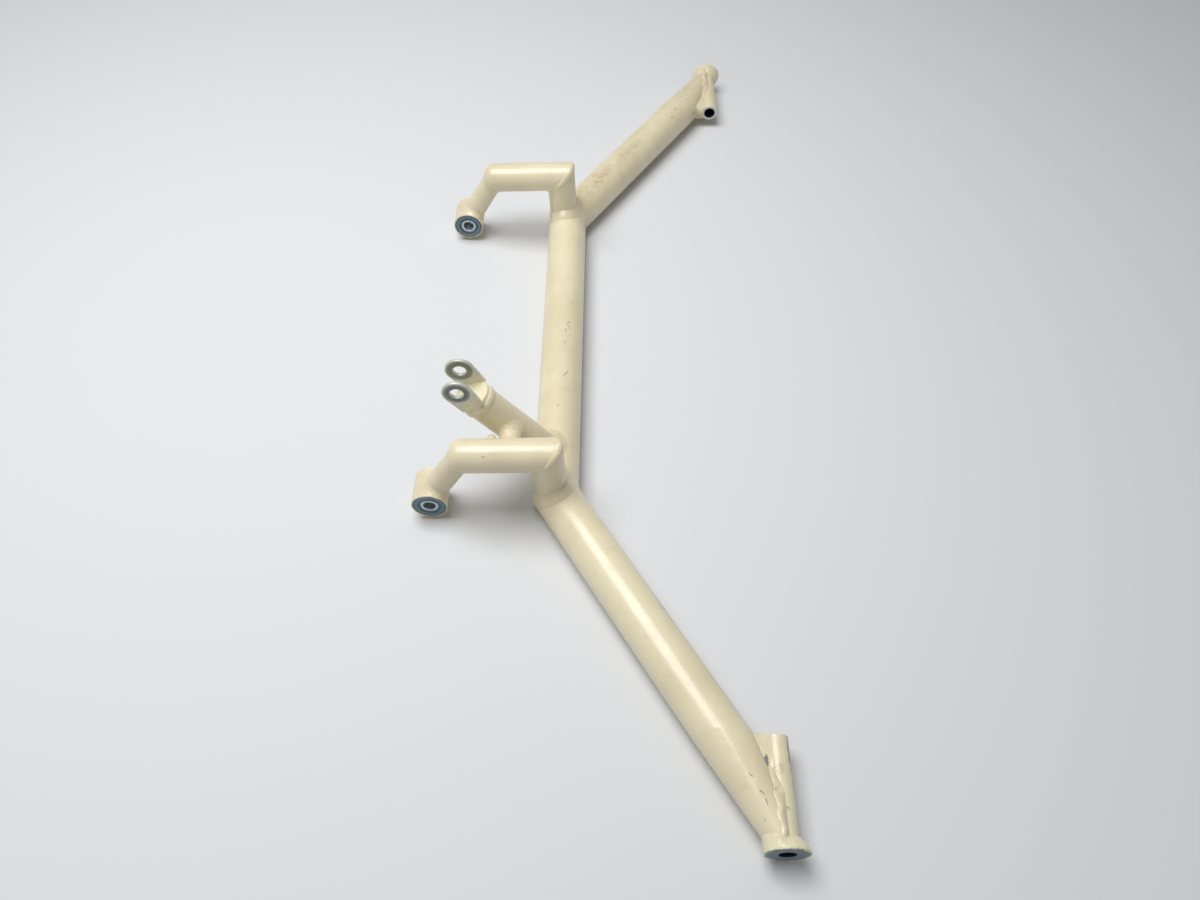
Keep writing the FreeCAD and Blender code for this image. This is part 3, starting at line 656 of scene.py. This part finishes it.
def ripple_tree():
    """Geometry node tree that raises ripples and lumps on a bead, along its own way out."""
    tree = bpy.data.node_groups.new("WeldRipples", "GeometryNodeTree")
    face = tree.interface
    face.new_socket("Geometry", in_out="INPUT", socket_type="NodeSocketGeometry")
    for label in ("Pitch", "Ripple", "Lump", "Lump scale", "Seed"):
        face.new_socket(label, in_out="INPUT", socket_type="NodeSocketFloat")
    face.new_socket("Material", in_out="INPUT", socket_type="NodeSocketMaterial")
    face.new_socket("Geometry", in_out="OUTPUT", socket_type="NodeSocketGeometry")

    def add(kind, **settings):
        made = tree.nodes.new(kind)
        for key, value in settings.items():
            setattr(made, key, value)
        return made

    def join(source, target):
        tree.links.new(source, target)

    def maths(operation, first, second):
        made = add("ShaderNodeMath", operation=operation)
        for socket, value in zip(made.inputs, (first, second)):
            if isinstance(value, float):
                socket.default_value = value
            else:
                join(value, socket)
        return made.outputs[0]

    def attribute(name, kind):
        made = add("GeometryNodeInputNamedAttribute", data_type=kind)
        made.inputs["Name"].default_value = name
        return made.outputs["Attribute"]

    given = add("NodeGroupInput").outputs
    turns = maths("MULTIPLY", maths("DIVIDE", attribute("run", "FLOAT"), given["Pitch"]), math.tau)
    ripple = maths("MULTIPLY", maths("SINE", turns, 0.0), given["Ripple"])
    shifted = add("ShaderNodeVectorMath", operation="ADD")
    join(add("GeometryNodeInputPosition").outputs["Position"], shifted.inputs[0])
    join(given["Seed"], shifted.inputs[1])
    noise = add("ShaderNodeTexNoise")
    noise.inputs["Detail"].default_value = 1.5
    join(shifted.outputs["Vector"], noise.inputs["Vector"])
    join(given["Lump scale"], noise.inputs["Scale"])
    lump = maths("MULTIPLY", maths("SUBTRACT", noise.outputs[0], 0.5), given["Lump"])
    rise = maths("MULTIPLY", maths("ADD", ripple, lump), attribute("edge", "FLOAT"))
    offset = add("ShaderNodeVectorMath", operation="SCALE")
    join(attribute("out", "FLOAT_VECTOR"), offset.inputs[0])
    join(rise, offset.inputs["Scale"])
    move = add("GeometryNodeSetPosition")
    smooth = add("GeometryNodeSetShadeSmooth")
    paint = add("GeometryNodeSetMaterial")
    join(given["Geometry"], move.inputs["Geometry"])
    join(offset.outputs["Vector"], move.inputs["Offset"])
    join(move.outputs["Geometry"], smooth.inputs["Geometry"])
    join(smooth.outputs["Geometry"], paint.inputs["Geometry"])
    join(given["Material"], paint.inputs["Material"])
    join(paint.outputs["Geometry"], add("NodeGroupOutput").inputs["Geometry"])
    return tree


class Band:
    """One bead: stations of points across it, each with its share of the ripples."""

    def __init__(self, closed):
        self.closed = closed
        self.stations = []

    def add(self, points, shares, out):
        self.stations.append((points, shares, out))

    def runs(self):
        """Distance along the bead at each station."""
        total = 0.0
        last = None
        for points, _, _ in self.stations:
            middle = points[len(points) // 2]
            total += (middle - last).length if last else 0.0
            last = middle
            yield total


def across_bead(corner, first, second, out, knot):
    """Points across a bead, toe to toe; each toe is a point, a way away and a way out."""
    toe_a, along_a, out_a = first
    toe_b, along_b, out_b = second
    points = [toe_a + along_a * 0.1 * MM - out_a * DIVE]
    shares = [0.0]
    for step in range(BEAD_STEPS + 1):
        u = step / BEAD_STEPS
        base = toe_a * (1 - u) ** 2 + knot * 2 * u * (1 - u) + toe_b * u ** 2
        points.append(base + (out_a * (1 - u) + out_b * u) * PROUD)
        shares.append(math.sin(math.pi * u) ** 0.6)
    points += [toe_b + along_b * 0.1 * MM - out_b * DIVE, corner - out * CORE]
    shares += [0.0, 0.0]
    return points, shares


def band_mesh(name, bands):
    """Closed mesh through the stations of every band, with the attributes that the ripples read."""
    mesh = bpy.data.meshes.new(name)
    points, faces, runs, shares, outs = [], [], [], [], []
    for band in bands:
        first = len(points)
        wide = len(band.stations[0][0])
        for (row, share, out), run in zip(band.stations, band.runs()):
            for n, point in enumerate(row):
                u = min(n / (wide - 2), 1.0)
                points.append(point)
                runs.append(run + BOW * (2 * u - 1) ** 2)
                shares.append(share[n])
                outs.append(out[n] if isinstance(out, list) else out)
        count = len(band.stations)
        for step in range(count if band.closed else count - 1):
            here, there = first + step * wide, first + (step + 1) % count * wide
            for n in range(wide):
                m = (n + 1) % wide
                faces.append((here + n, here + m, there + m, there + n))
        if not band.closed:
            faces.append(tuple(first + n for n in reversed(range(wide))))
            faces.append(tuple(first + (count - 1) * wide + n for n in range(wide)))
    mesh.from_pydata(points, [], faces)
    for label, kind, values in (("run", "FLOAT", runs), ("edge", "FLOAT", shares)):
        mesh.attributes.new(label, kind, "POINT").data.foreach_set("value", values)
    flat = [c for out in outs for c in out]
    mesh.attributes.new("out", "FLOAT_VECTOR", "POINT").data.foreach_set("vector", flat)
    tidy = bmesh.new()
    tidy.from_mesh(mesh)
    bmesh.ops.recalc_face_normals(tidy, faces=tidy.faces)
    tidy.to_mesh(mesh)
    tidy.free()
    return mesh


def hand_in(name, mesh, nodes):
    """Put a finished mesh in the scene in place of the nodes it stands for."""
    made = bpy.data.objects.new(name, mesh)
    bpy.context.scene.collection.objects.link(made)
    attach(made, BODY)
    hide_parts(*nodes)
    return made


def weld(name, bands, nodes, calm=1.0, material="aged_enamel"):
    """Run the ripple tree over the bands and keep the result as a plain mesh."""
    sizes = bpy.context.scene.cross_member_welds
    source = bpy.data.objects.new(name + "_blank", band_mesh(name + "_blank", bands))
    bpy.context.scene.collection.objects.link(source)
    modifier = source.modifiers.new("Ripples", "NODES")
    modifier.node_group = bpy.data.node_groups.get("WeldRipples") or ripple_tree()
    values = {
        "Pitch": sizes.pitch, "Ripple": sizes.ripple * calm, "Lump": sizes.lump * calm,
        "Lump scale": sizes.lump_scale, "Seed": sizes.seed, "Material": bpy.data.materials[material],
    }
    for item in modifier.node_group.interface.items_tree:
        if item.in_out == "INPUT" and item.name in values:
            modifier[item.identifier] = values[item.name]
    evaluated = source.evaluated_get(bpy.context.evaluated_depsgraph_get())
    mesh = bpy.data.meshes.new_from_object(evaluated)
    mesh.name = name
    if not mesh.polygons:
        raise RuntimeError(f"{name} came out empty")
    source.modifiers.clear()
    bpy.data.objects.remove(source)
    return hand_in(name, mesh, nodes)


def landing(branch, base, turn, far):
    """Where a line on the branch's surface, coming back from far along, first meets the base."""
    low, high = far, far
    while base.depth(branch.at(low, turn)) > 0:
        high = low
        low -= 0.5 * MM
        if low < -60 * MM:
            raise RuntimeError("the branch misses its base")
    for _ in range(24):
        middle = (low + high) / 2
        if base.depth(branch.at(middle, turn)) > 0:
            high = middle
        else:
            low = middle
    return high


def fillet(branch, base, far, up_leg, out_leg, fullness):
    """Bead round the foot of a branch: hollow at a fullness of 0 and flat at 1."""
    band = Band(closed=True)
    for step in range(BEAD_STATIONS):
        turn = math.tau * step / BEAD_STATIONS
        corner = branch.at(landing(branch, base, turn, far), turn)
        side = branch.out(turn)
        base_out = outward(base, corner)
        away = (side - base_out * side.dot(base_out)).normalized()
        toe_b = settle(base, corner + away * out_leg)
        out_b = outward(base, toe_b)
        away_b = (away - out_b * away.dot(out_b)).normalized()
        out = (side + base_out).normalized()
        toe_a = corner + branch.direction * up_leg
        knot = corner.lerp((toe_a + toe_b) / 2, fullness)
        first, second = (toe_a, branch.direction, side), (toe_b, away_b, out_b)
        points, shares = across_bead(corner, first, second, out, knot)
        band.add(points, shares, out)
    return band


def mitre_point(elbow, bar, turn):
    """Point of one bar's surface on the mitre plane of an elbow."""
    edge = bar.point + bar.out(turn) * bar.radius
    reach = (elbow.centre - edge).dot(elbow.plane) / bar.direction.dot(elbow.plane)
    return edge + bar.direction * reach


def mitre(elbow, leg_at, lift, floor=None):
    """Rounded bead over the joint of two mitred bars of one size."""
    band = Band(closed=True)
    first_bar, second_bar = elbow.first, elbow.second
    for step in range(BEAD_STATIONS):
        corner = mitre_point(elbow, second_bar, math.tau * step / BEAD_STATIONS)
        out = (corner - elbow.centre).normalized()
        share = 1.0 if floor is None else clamped((corner.z - floor) / (8 * MM))
        leg = leg_at(elbow, corner)
        toe_a = settle(first_bar, corner - first_bar.direction * leg)
        toe_b = settle(second_bar, corner + second_bar.direction * leg)
        first = (toe_a, -first_bar.direction, outward(first_bar, toe_a))
        second = (toe_b, second_bar.direction, outward(second_bar, toe_b))
        points, shares = across_bead(corner, first, second, out, corner + out * lift * share)
        band.add(points, [value * share for value in shares], out)
    return band


def corner_leg(elbow, corner):
    """Half width of the weld over a crank's corner, wider round its outside."""
    sizes = bpy.context.scene.cross_member_welds
    outside = (elbow.first.direction - elbow.second.direction).normalized()
    share = max((corner - elbow.centre).normalized().dot(outside), 0.0)
    return sizes.corner + sizes.corner_round * share ** 2


def skinned(name, rings, node, material="aged_enamel", ring_shaped=False):
    """Smooth skin through rings of points, closed at both ends or joined round into a ring."""
    mesh = bpy.data.meshes.new(name)
    count = len(rings[0])
    points = [point for ring in rings for point in ring]
    faces = []
    for row in range(len(rings) if ring_shaped else len(rings) - 1):
        low, high = row * count, (row + 1) % len(rings) * count
        for n in range(count):
            m = (n + 1) % count
            faces.append((low + n, low + m, high + m, high + n))
    if not ring_shaped:
        faces.append(tuple(reversed(range(count))))
        faces.append(tuple(range((len(rings) - 1) * count, len(rings) * count)))
    mesh.from_pydata(points, [], faces)
    tidy = bmesh.new()
    tidy.from_mesh(mesh)
    bmesh.ops.recalc_face_normals(tidy, faces=tidy.faces)
    for face in tidy.faces:
        face.smooth = True
    tidy.to_mesh(mesh)
    tidy.free()
    mesh.set_sharp_from_angle(angle=math.radians(40))
    mesh.materials.append(bpy.data.materials[material])
    return hand_in(name, mesh, [node])


def tip_section(station):
    """Centre, half width and half height of the formed arm at one station along Y."""
    share = (station - FORM_START) / (SLEEVE_HIGH.y - FORM_START)
    wide = MAIN_RADIUS / math.cos(ARM_SWEEP)
    return (
        SLEEVE.x - SLEEVE_STEP * (1 - share),
        wide + (TIP_RADIUS - wide) * share,
        MAIN_RADIUS + (TIP_RADIUS - MAIN_RADIUS) * share,
        share,
    )


def tip_height(x, section):
    """Height above the axis of the formed arm and its sleeve together."""
    centre, wide, high, _ = section
    on_arm = 0.0
    if x < SLEEVE.x - SEAM and abs(x - centre) < wide:
        on_arm = high * math.sqrt(1 - ((x - centre) / wide) ** 2)
    on_sleeve = 0.0
    if abs(x - SLEEVE.x) < SLEEVE_RADIUS:
        on_sleeve = math.sqrt(SLEEVE_RADIUS ** 2 - (x - SLEEVE.x) ** 2)
    return max(on_arm, on_sleeve)


def fairing(side):
    """Weld that fills the notch between the formed arm and its sleeve, then follows their seam."""
    band = Band(closed=False)
    span = SLEEVE_HIGH.y - SKIRT * 0.6 - FORM_START
    for step in range(FAIRING_STATIONS + 1):
        y = FORM_START + span * step / FAIRING_STATIONS
        section = tip_section(y)
        x, wide, high, share = section
        ridge = eased((share - RIDGE_START) / RIDGE_GROWTH)
        wander = WANDER * math.sin(share * 31.0) * ridge
        reach_a = (5.0 * (1 - ridge) + 3.4 * ridge) * MM
        cosine = min(max((SLEEVE.x - SEAM - reach_a + wander - x) / wide, -1.0), 0.9)
        sine = math.sqrt(1 - cosine * cosine)
        toe_a = Vector((x + wide * cosine, 0, high * sine))
        out_a = Vector((cosine / wide, 0, sine / high)).normalized()
        beta = math.radians(34.0 * (1 - ridge) - 3.0 * ridge)
        out_b = Vector((-math.sin(beta), 0, math.cos(beta)))
        toe_b = Vector((SLEEVE.x, 0, 0)) + out_b * SLEEVE_RADIUS
        middle = (toe_a + toe_b) / 2
        out = Vector((toe_a.z - toe_b.z, 0, toe_b.x - toe_a.x)).normalized()
        crest = SLEEVE.x - SEAM + wander
        tops = [tip_height(crest + shift * MM, section) for shift in (-1.0, -0.5, 0.0, 0.5)]
        top = max(tops) + RIDGE
        fill = middle - out * 0.3 * MM
        peak = Vector((crest, 0, top)) * 2 - middle
        knot = fill.lerp(peak, ridge)
        along_a = Vector((-out_a.z, 0, out_a.x))
        along_b = Vector((out_b.z, 0, -out_b.x))
        first, second = (toe_a, along_a, out_a), (toe_b, along_b, out_b)
        points, shares = across_bead(Vector((crest, 0, 0)), first, second, out, knot)
        upper, shares = points[:-1], shares[:-1]
        for bend in (0.25, 0.5, 0.75, 1.0):
            angle = beta + (math.pi / 2 - beta) * bend
            inward = Vector((-math.sin(angle), 0, math.cos(angle)))
            upper.append(Vector((SLEEVE.x, 0, 0)) + inward * WALL_MIDDLE)
            shares.append(0.0)
        under = [Vector((point.x, 0, -point.z)) for point in reversed(upper[:-1])]
        outs = [out] * len(upper) + [Vector((out.x, 0, -out.z))] * len(under)
        row = [Vector((point.x, side * y, AXIS.z + point.z)) for point in upper + under]
        band.add(row, shares + shares[-2::-1], outs)
    return band


def skirt(side):
    """Full weld from the arm's tip and the sleeve out to the edge of the end disc."""
    band = Band(closed=True)
    y_high = DISC_HIGH.y - 0.75 * MM
    for step in range(SKIRT_STATIONS):
        turn = math.tau * step / SKIRT_STATIONS
        out = Vector((math.cos(turn), 0, math.sin(turn)))
        lobe = eased((-out.x - 0.15) / 0.6)
        y_low = SLEEVE_HIGH.y - SKIRT - LOBE * lobe
        x, wide, high, _ = tip_section(y_low)
        shift = x - SLEEVE.x
        a = (out.x / wide) ** 2 + (out.z / high) ** 2
        b = -2 * out.x * shift / wide ** 2
        c = (shift / wide) ** 2 - 1
        skin = (-b + math.sqrt(b * b - 4 * a * c)) / (2 * a)
        on_arm = clamped((-SEAM + 1.5 * MM - out.x * skin) / (3 * MM))
        low_radius = SLEEVE_RADIUS + (skin - SLEEVE_RADIUS) * on_arm

        def spot(radius, y):
            return Vector((SLEEVE.x + out.x * radius, side * y, AXIS.z + out.z * radius))

        back = Vector((0, -side, 0))
        low, rim = spot(low_radius, y_low), spot(DISC_EDGE, y_high)
        plain = spot(low_radius + (DISC_EDGE - low_radius) * 0.62, y_low + SKIRT * 0.36)
        knot = plain.lerp(spot(LOBE_RADIUS, y_low + (y_high - y_low) * 0.55), lobe)
        points, shares = [low + back * 0.2 * MM - out * DIVE], [0.0]
        for n in range(BEAD_STEPS + 1):
            u = n / BEAD_STEPS
            points.append(low * (1 - u) ** 2 + knot * 2 * u * (1 - u) + rim * u ** 2 + out * PROUD)
            shares.append(math.sin(math.pi * u) ** 0.7)
        points += [spot(SLEEVE_RADIUS - 1 * MM, y_high), spot(SLEEVE_RADIUS - 1 * MM, y_low)]
        shares += [0.0, 0.0]
        band.add(points, shares, (out + back).normalized())
    return band


def merged_copy(name, node):
    """A welded copy of a node's mesh, with its flat and round faces joined up again."""
    mesh = NODES[node].data.copy()
    mesh.name = name
    tidy = bmesh.new()
    tidy.from_mesh(mesh)
    bmesh.ops.remove_doubles(tidy, verts=tidy.verts, dist=0.002 * MM)
    flat = math.radians(0.5)
    bmesh.ops.dissolve_limit(tidy, angle_limit=flat, verts=tidy.verts, edges=tidy.edges)
    tidy.to_mesh(mesh)
    tidy.free()
    return mesh


class CROSSMEMBER_OT_tubes(bpy.types.Operator):
    """Give the tubes, sleeves, discs and housings their aged enamel"""

    bl_idname = "crossmember.tubes"
    bl_label = "Tubes and sleeves"

    def execute(self, context):
        colours = context.scene.cross_member_colours
        enamel = enamel_material("aged_enamel", colours)
        special = {
            "bearing_housing": housing_material("housing_enamel", colours),
            "sleeve": sleeve_material("sleeve_enamel", colours),
        }
        for name, node in NODES.items():
            if SLOTS[name] in ("tube_enamel", "weld_enamel"):
                node.data.materials.clear()
                node.data.materials.append(special.get(name.split("_", 1)[1], enamel))
        disc_material("disc_enamel", colours)
        for label, side in SIDES.items():
            self.disc(label, side)
        return {"FINISHED"}

    def disc(self, label, side):
        """End disc that thins out to a sharp edge under its weld."""
        face, back = DISC_HIGH.y, DISC_LOW.y
        profile = [
            (SLEEVE_BORE, back),
            (SLEEVE_BORE, face),
            (DISC_RADIUS - 0.3 * MM, face),
            (DISC_RADIUS, face - 0.3 * MM),
            (DISC_RADIUS, face - 0.6 * MM),
            (DISC_RADIUS - 2.2 * MM, back),
        ]
        rings = []
        for radius, y in profile:
            hoop = Bar((SLEEVE.x, side * y, AXIS.z), (0, 1, 0), radius)
            rings.append([hoop.at(0.0, math.tau * n / SEGMENTS) for n in range(SEGMENTS)])
        disc = f"{label}_end_disc"
        skinned(f"{label}_disc_skin", rings, disc, "disc_enamel", ring_shaped=True)


class CROSSMEMBER_OT_cranks(bpy.types.Operator):
    """Model the cranks' uprights and cross tubes, whose corner is rounded over by its weld"""

    bl_idname = "crossmember.cranks"
    bl_label = "Cranks"

    def execute(self, context):
        turns = [math.tau * n / SEGMENTS for n in range(SEGMENTS)]
        for label, side in SIDES.items():
            bars = tubes(side)
            crank, upright, cross = bars["crank"], bars["upright"], bars["cross"]
            joint = [self.under_weld(crank, upright, -1, turn) for turn in turns]
            rings = [[upright.at(2 * MM, turn) for turn in turns], joint]
            skinned(f"{label}_upright_skin", rings, f"{label}_crank_upright")
            rings = [[self.under_weld(crank, cross, 1, turn) for turn in turns]]
            straight = cross.length - CROSS_ROUND
            for share in (0.5, 1.0):
                rings.append([cross.at(straight * share, turn) for turn in turns])
            for step in range(1, 13):
                bend = math.pi / 2 * step / 12
                along = straight + CROSS_ROUND * math.sin(bend)
                inset = CROSS_ROUND * (1 - math.cos(bend))
                rings.append([cross.at(along, turn, inset) for turn in turns])
            skinned(f"{label}_cross_skin", rings, f"{label}_crank_cross_tube")
        return {"FINISHED"}

    def under_weld(self, crank, bar, way, turn):
        """Point of a bar's surface just inside the toe of the corner's weld."""
        corner = mitre_point(crank, bar, turn)
        return corner + bar.direction * way * (corner_leg(crank, corner) - 0.4 * MM)


class CROSSMEMBER_OT_bearings(bpy.types.Operator):
    """Give the bearings and the fork their steels"""

    bl_idname = "crossmember.bearings"
    bl_label = "Bearings and fork"

    def execute(self, context):
        colours = context.scene.cross_member_colours
        steels = {
            "fork_steel": fork_material("fork_steel", colours),
            "ring_steel": ring_material("ring_steel", colours),
            "shield_steel": steel_material("shield_steel", colours.shield, 0.34, dirt_share=0.4),
            "ball_steel": steel_material("ball_steel", (0.75, 0.76, 0.78), 0.15, dirt_share=0.05),
            "cage_steel": steel_material("cage_steel", (0.45, 0.45, 0.45), 0.35),
            "spacer_steel": steel_material("spacer_steel", (0.38, 0.39, 0.40), 0.4),
        }
        for name, node in NODES.items():
            if SLOTS[name] in steels:
                node.data.materials.clear()
                node.data.materials.append(steels[SLOTS[name]])
        self.fork(steels["fork_steel"])
        return {"FINISHED"}

    def fork(self, steel):
        """The fork end with its edges broken."""
        source = bpy.data.objects.new("fork_blank", merged_copy("fork_blank", "fork_end"))
        bpy.context.scene.collection.objects.link(source)
        bevel = source.modifiers.new("Broken edges", "BEVEL")
        bevel.width = 0.4 * MM
        bevel.segments = 3
        bevel.limit_method = "ANGLE"
        bevel.angle_limit = math.radians(35)
        evaluated = source.evaluated_get(bpy.context.evaluated_depsgraph_get())
        mesh = bpy.data.meshes.new_from_object(evaluated)
        mesh.name = "fork_shape"
        source.modifiers.clear()
        bpy.data.objects.remove(source)
        for face in mesh.polygons:
            face.use_smooth = True
        mesh.set_sharp_from_angle(angle=math.radians(32))
        mesh.materials.clear()
        mesh.materials.append(steel)
        hand_in("fork_shape", mesh, ["fork_end"])


class CROSSMEMBER_OT_welds(bpy.types.Operator):
    """Lay the rippled weld beads along every joint"""

    bl_idname = "crossmember.welds"
    bl_label = "Weld beads"

    def execute(self, context):
        sizes = context.scene.cross_member_welds
        foot, leg, full = sizes.foot, sizes.leg, sizes.fullness
        feet, corners, elbows, housings, mitres, fairings, skirts = [], [], [], [], [], [], []
        for side in SIDES.values():
            bars = tubes(side)
            cross, drop = bars["cross"], bars["drop"]
            main, upright, housing = bars["main"], bars["upright"], bars["housing"]
            elbow = drop.point + drop.direction * bars["drop_length"]
            hanging = Bar(elbow, -drop.direction, DROP_RADIUS)
            feet.append(fillet(upright, main, BRANCH_SEARCH, foot * 0.75, foot, full * 1.25))
            corners.append(mitre(bars["crank"], corner_leg, 1.3 * MM))
            elbows.append(fillet(hanging, cross, BRANCH_SEARCH, leg * 0.55, leg * 0.45, full * 1.4))
            housings.append(fillet(drop, housing, HOUSING_SEARCH, leg * 0.9, leg, full * 0.7))
            mitres.append(mitre(main, lambda elbow, corner: leg, 0.6 * MM, floor=3 * MM))
            fairings.append(fairing(side))
            skirts.append(skirt(side))
        weld("upright_foot_beads", feet, ["upright_foot_welds"], calm=1.3)
        weld("crank_corner_beads", corners, ["crank_corner_welds"], calm=1.5)
        weld("elbow_beads", elbows, ["drop_top_welds"], calm=0.7)
        weld("housing_beads", housings, ["housing_welds"], calm=0.6)
        weld("arm_mitre_beads", mitres, ["arm_mitre_welds"], calm=0.5)
        gussets = [f"{label}_sleeve_gusset" for label in SIDES]
        weld("sleeve_fairings", fairings, ["sleeve_welds", *gussets])
        weld("disc_skirts", skirts, ["disc_welds"], calm=1.1, material="disc_enamel")
        left = tubes(-1)
        root = fillet(ROD_ARM, left["main"], BRANCH_SEARCH, leg, foot * 0.8, full * 1.2)
        weld("rod_arm_root_bead", [root], ["rod_arm_root_weld"])
        far_end = STUB.point + STUB.direction * (HALF_SPAN - ROD_ARM_STATION)
        back_stub = Bar(far_end, -STUB.direction, STUB_RADIUS)
        stubs = []
        for stub, base in ((STUB, ROD_ARM), (back_stub, left["cross"])):
            stubs.append(fillet(stub, base, STUB_SEARCH, leg * 0.9, leg * 0.9, full * 0.6))
        weld("stub_beads", stubs + [self.tack()], ["stub_welds"])
        weld("fork_bead", [self.fork_ring()], ["fork_weld"], calm=0.7)
        return {"FINISHED"}

    def fork_ring(self):
        """Low bead round the seam between the push rod arm and the fork's stem."""
        band = Band(closed=True)
        for step in range(120):
            turn = math.tau * step / 120
            out = ROD_ARM.out(turn)
            corner = ROD_ARM.at(ROD_ARM_LENGTH, turn)
            toes = []
            for way in (-1, 1):
                heading = ROD_ARM.direction * way
                toes.append((corner + heading * 3 * MM, heading, out))
            points, shares = across_bead(corner, *toes, out, corner + out * 1.6 * MM)
            band.add(points, shares, out)
        return band

    def tack(self):
        """Lump of weld on the left crank's cross tube beside the brace stub."""
        reach, height, radius = TACK
        centre = Vector((AXIS.x - reach, -HALF_SPAN + CRANK_RADIUS + radius / 4, AXIS.z + height))
        band = Band(closed=False)
        for step in range(1, 24):
            rise = -math.cos(math.pi * step / 24)
            ring = math.sqrt(1 - rise * rise)
            outs = []
            for n in range(32):
                turn = math.tau * n / 32
                outs.append(Vector((math.cos(turn) * ring, math.sin(turn) * ring, rise)))
            band.add([centre + out * radius for out in outs], [0.8] * 32, outs)
        return band


class CROSSMEMBER_OT_stage(bpy.types.Operator):
    """Set up the pale floor, the soft lamps and the camera"""

    bl_idname = "crossmember.stage"
    bl_label = "Stage and camera"

    def execute(self, context):
        settings = context.scene.cross_member_stage
        scene = context.scene
        floor_mesh = bpy.data.meshes.new("floor")
        half = FLOOR_HALF
        corners = [(-half, -half, 0), (half, -half, 0), (half, half, 0), (-half, half, 0)]
        floor_mesh.from_pydata(corners, [], [(0, 1, 2, 3)])
        floor = bpy.data.objects.new("floor", floor_mesh)
        scene.collection.objects.link(floor)
        floor.location.z = CAD_BOX[0].z
        floor.data.materials.append(floor_material(settings.floor))

        world = bpy.data.worlds.new("soft_room")
        scene.world = world
        world.use_nodes = True
        background = world.node_tree.nodes["Background"]
        background.inputs["Color"].default_value = (1.0, 1.0, 1.0, 1.0)
        background.inputs["Strength"].default_value = settings.fill

        lamp = bpy.data.lights.new("key", "AREA")
        lamp.shape = "RECTANGLE"
        lamp.size = LAMP_SIZE
        lamp.size_y = LAMP_SIZE
        lamp.energy = settings.key
        key = bpy.data.objects.new("key", lamp)
        scene.collection.objects.link(key)
        key.location = LAMP_PLACE
        key.rotation_euler = (-Vector(LAMP_PLACE)).to_track_quat("-Z", "Y").to_euler()

        optics = bpy.data.cameras.new("camera")
        optics.sensor_width = SENSOR_WIDTH
        optics.lens = settings.lens
        optics.clip_start = 0.01
        camera = bpy.data.objects.new("camera", optics)
        scene.collection.objects.link(camera)
        right = Vector(CAMERA_RIGHT).normalized()
        down = Vector(CAMERA_DOWN)
        down = (down - right * down.dot(right)).normalized()
        ahead = right.cross(down)
        turn = Matrix((right, -down, -ahead)).transposed().to_4x4()
        camera.matrix_world = Matrix.Translation(Vector(CAMERA_PLACE)) @ turn
        scene.camera = camera
        scene.view_settings.view_transform = "Standard"
        return {"FINISHED"}


def floor_material(colour):
    """Pale matt floor with a faint grain."""
    shader = Shader("pale_floor")
    grain = shader.spread(shader.noise(30.0, 3.0, 0.5), 0.3, 0.7, 0.985, 1.0)
    tone = shader.mix(grain, [c * 0.96 for c in colour], colour)
    return shader.finish(tone, 0.85)


class CROSSMEMBER_PT_panel(bpy.types.Panel):
    """Sidebar panel with the sizes, colours and steps of the cross member"""

    bl_idname = "CROSSMEMBER_PT_panel"
    bl_label = "Cross member"
    bl_space_type = "VIEW_3D"
    bl_region_type = "UI"
    bl_category = "Cross member"

    def draw(self, context):
        for group in PROPERTY_GROUPS:
            values = getattr(context.scene, group)
            for name in values.__annotations__:
                self.layout.prop(values, name)
        for step in STEPS:
            self.layout.operator(step.bl_idname)


PROPERTY_GROUPS = {
    "cross_member_welds": WeldSizes,
    "cross_member_colours": FinishColours,
    "cross_member_stage": StageSettings,
}
STEPS = (
    CROSSMEMBER_OT_tubes, CROSSMEMBER_OT_cranks, CROSSMEMBER_OT_bearings, CROSSMEMBER_OT_welds,
    CROSSMEMBER_OT_stage,
)
CLASSES = (*PROPERTY_GROUPS.values(), *STEPS, CROSSMEMBER_PT_panel)


def register():
    for item in CLASSES:
        bpy.utils.register_class(item)
    for name, group in PROPERTY_GROUPS.items():
        setattr(bpy.types.Scene, name, PointerProperty(type=group))


def unregister():
    for name in PROPERTY_GROUPS:
        delattr(bpy.types.Scene, name)
    for item in reversed(CLASSES):
        bpy.utils.unregister_class(item)


def main():
    register()
    for step in STEPS:
        group, name = step.bl_idname.split(".")
        getattr(getattr(bpy.ops, group), name)()
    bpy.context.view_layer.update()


if __name__ == "__main__":
    main()
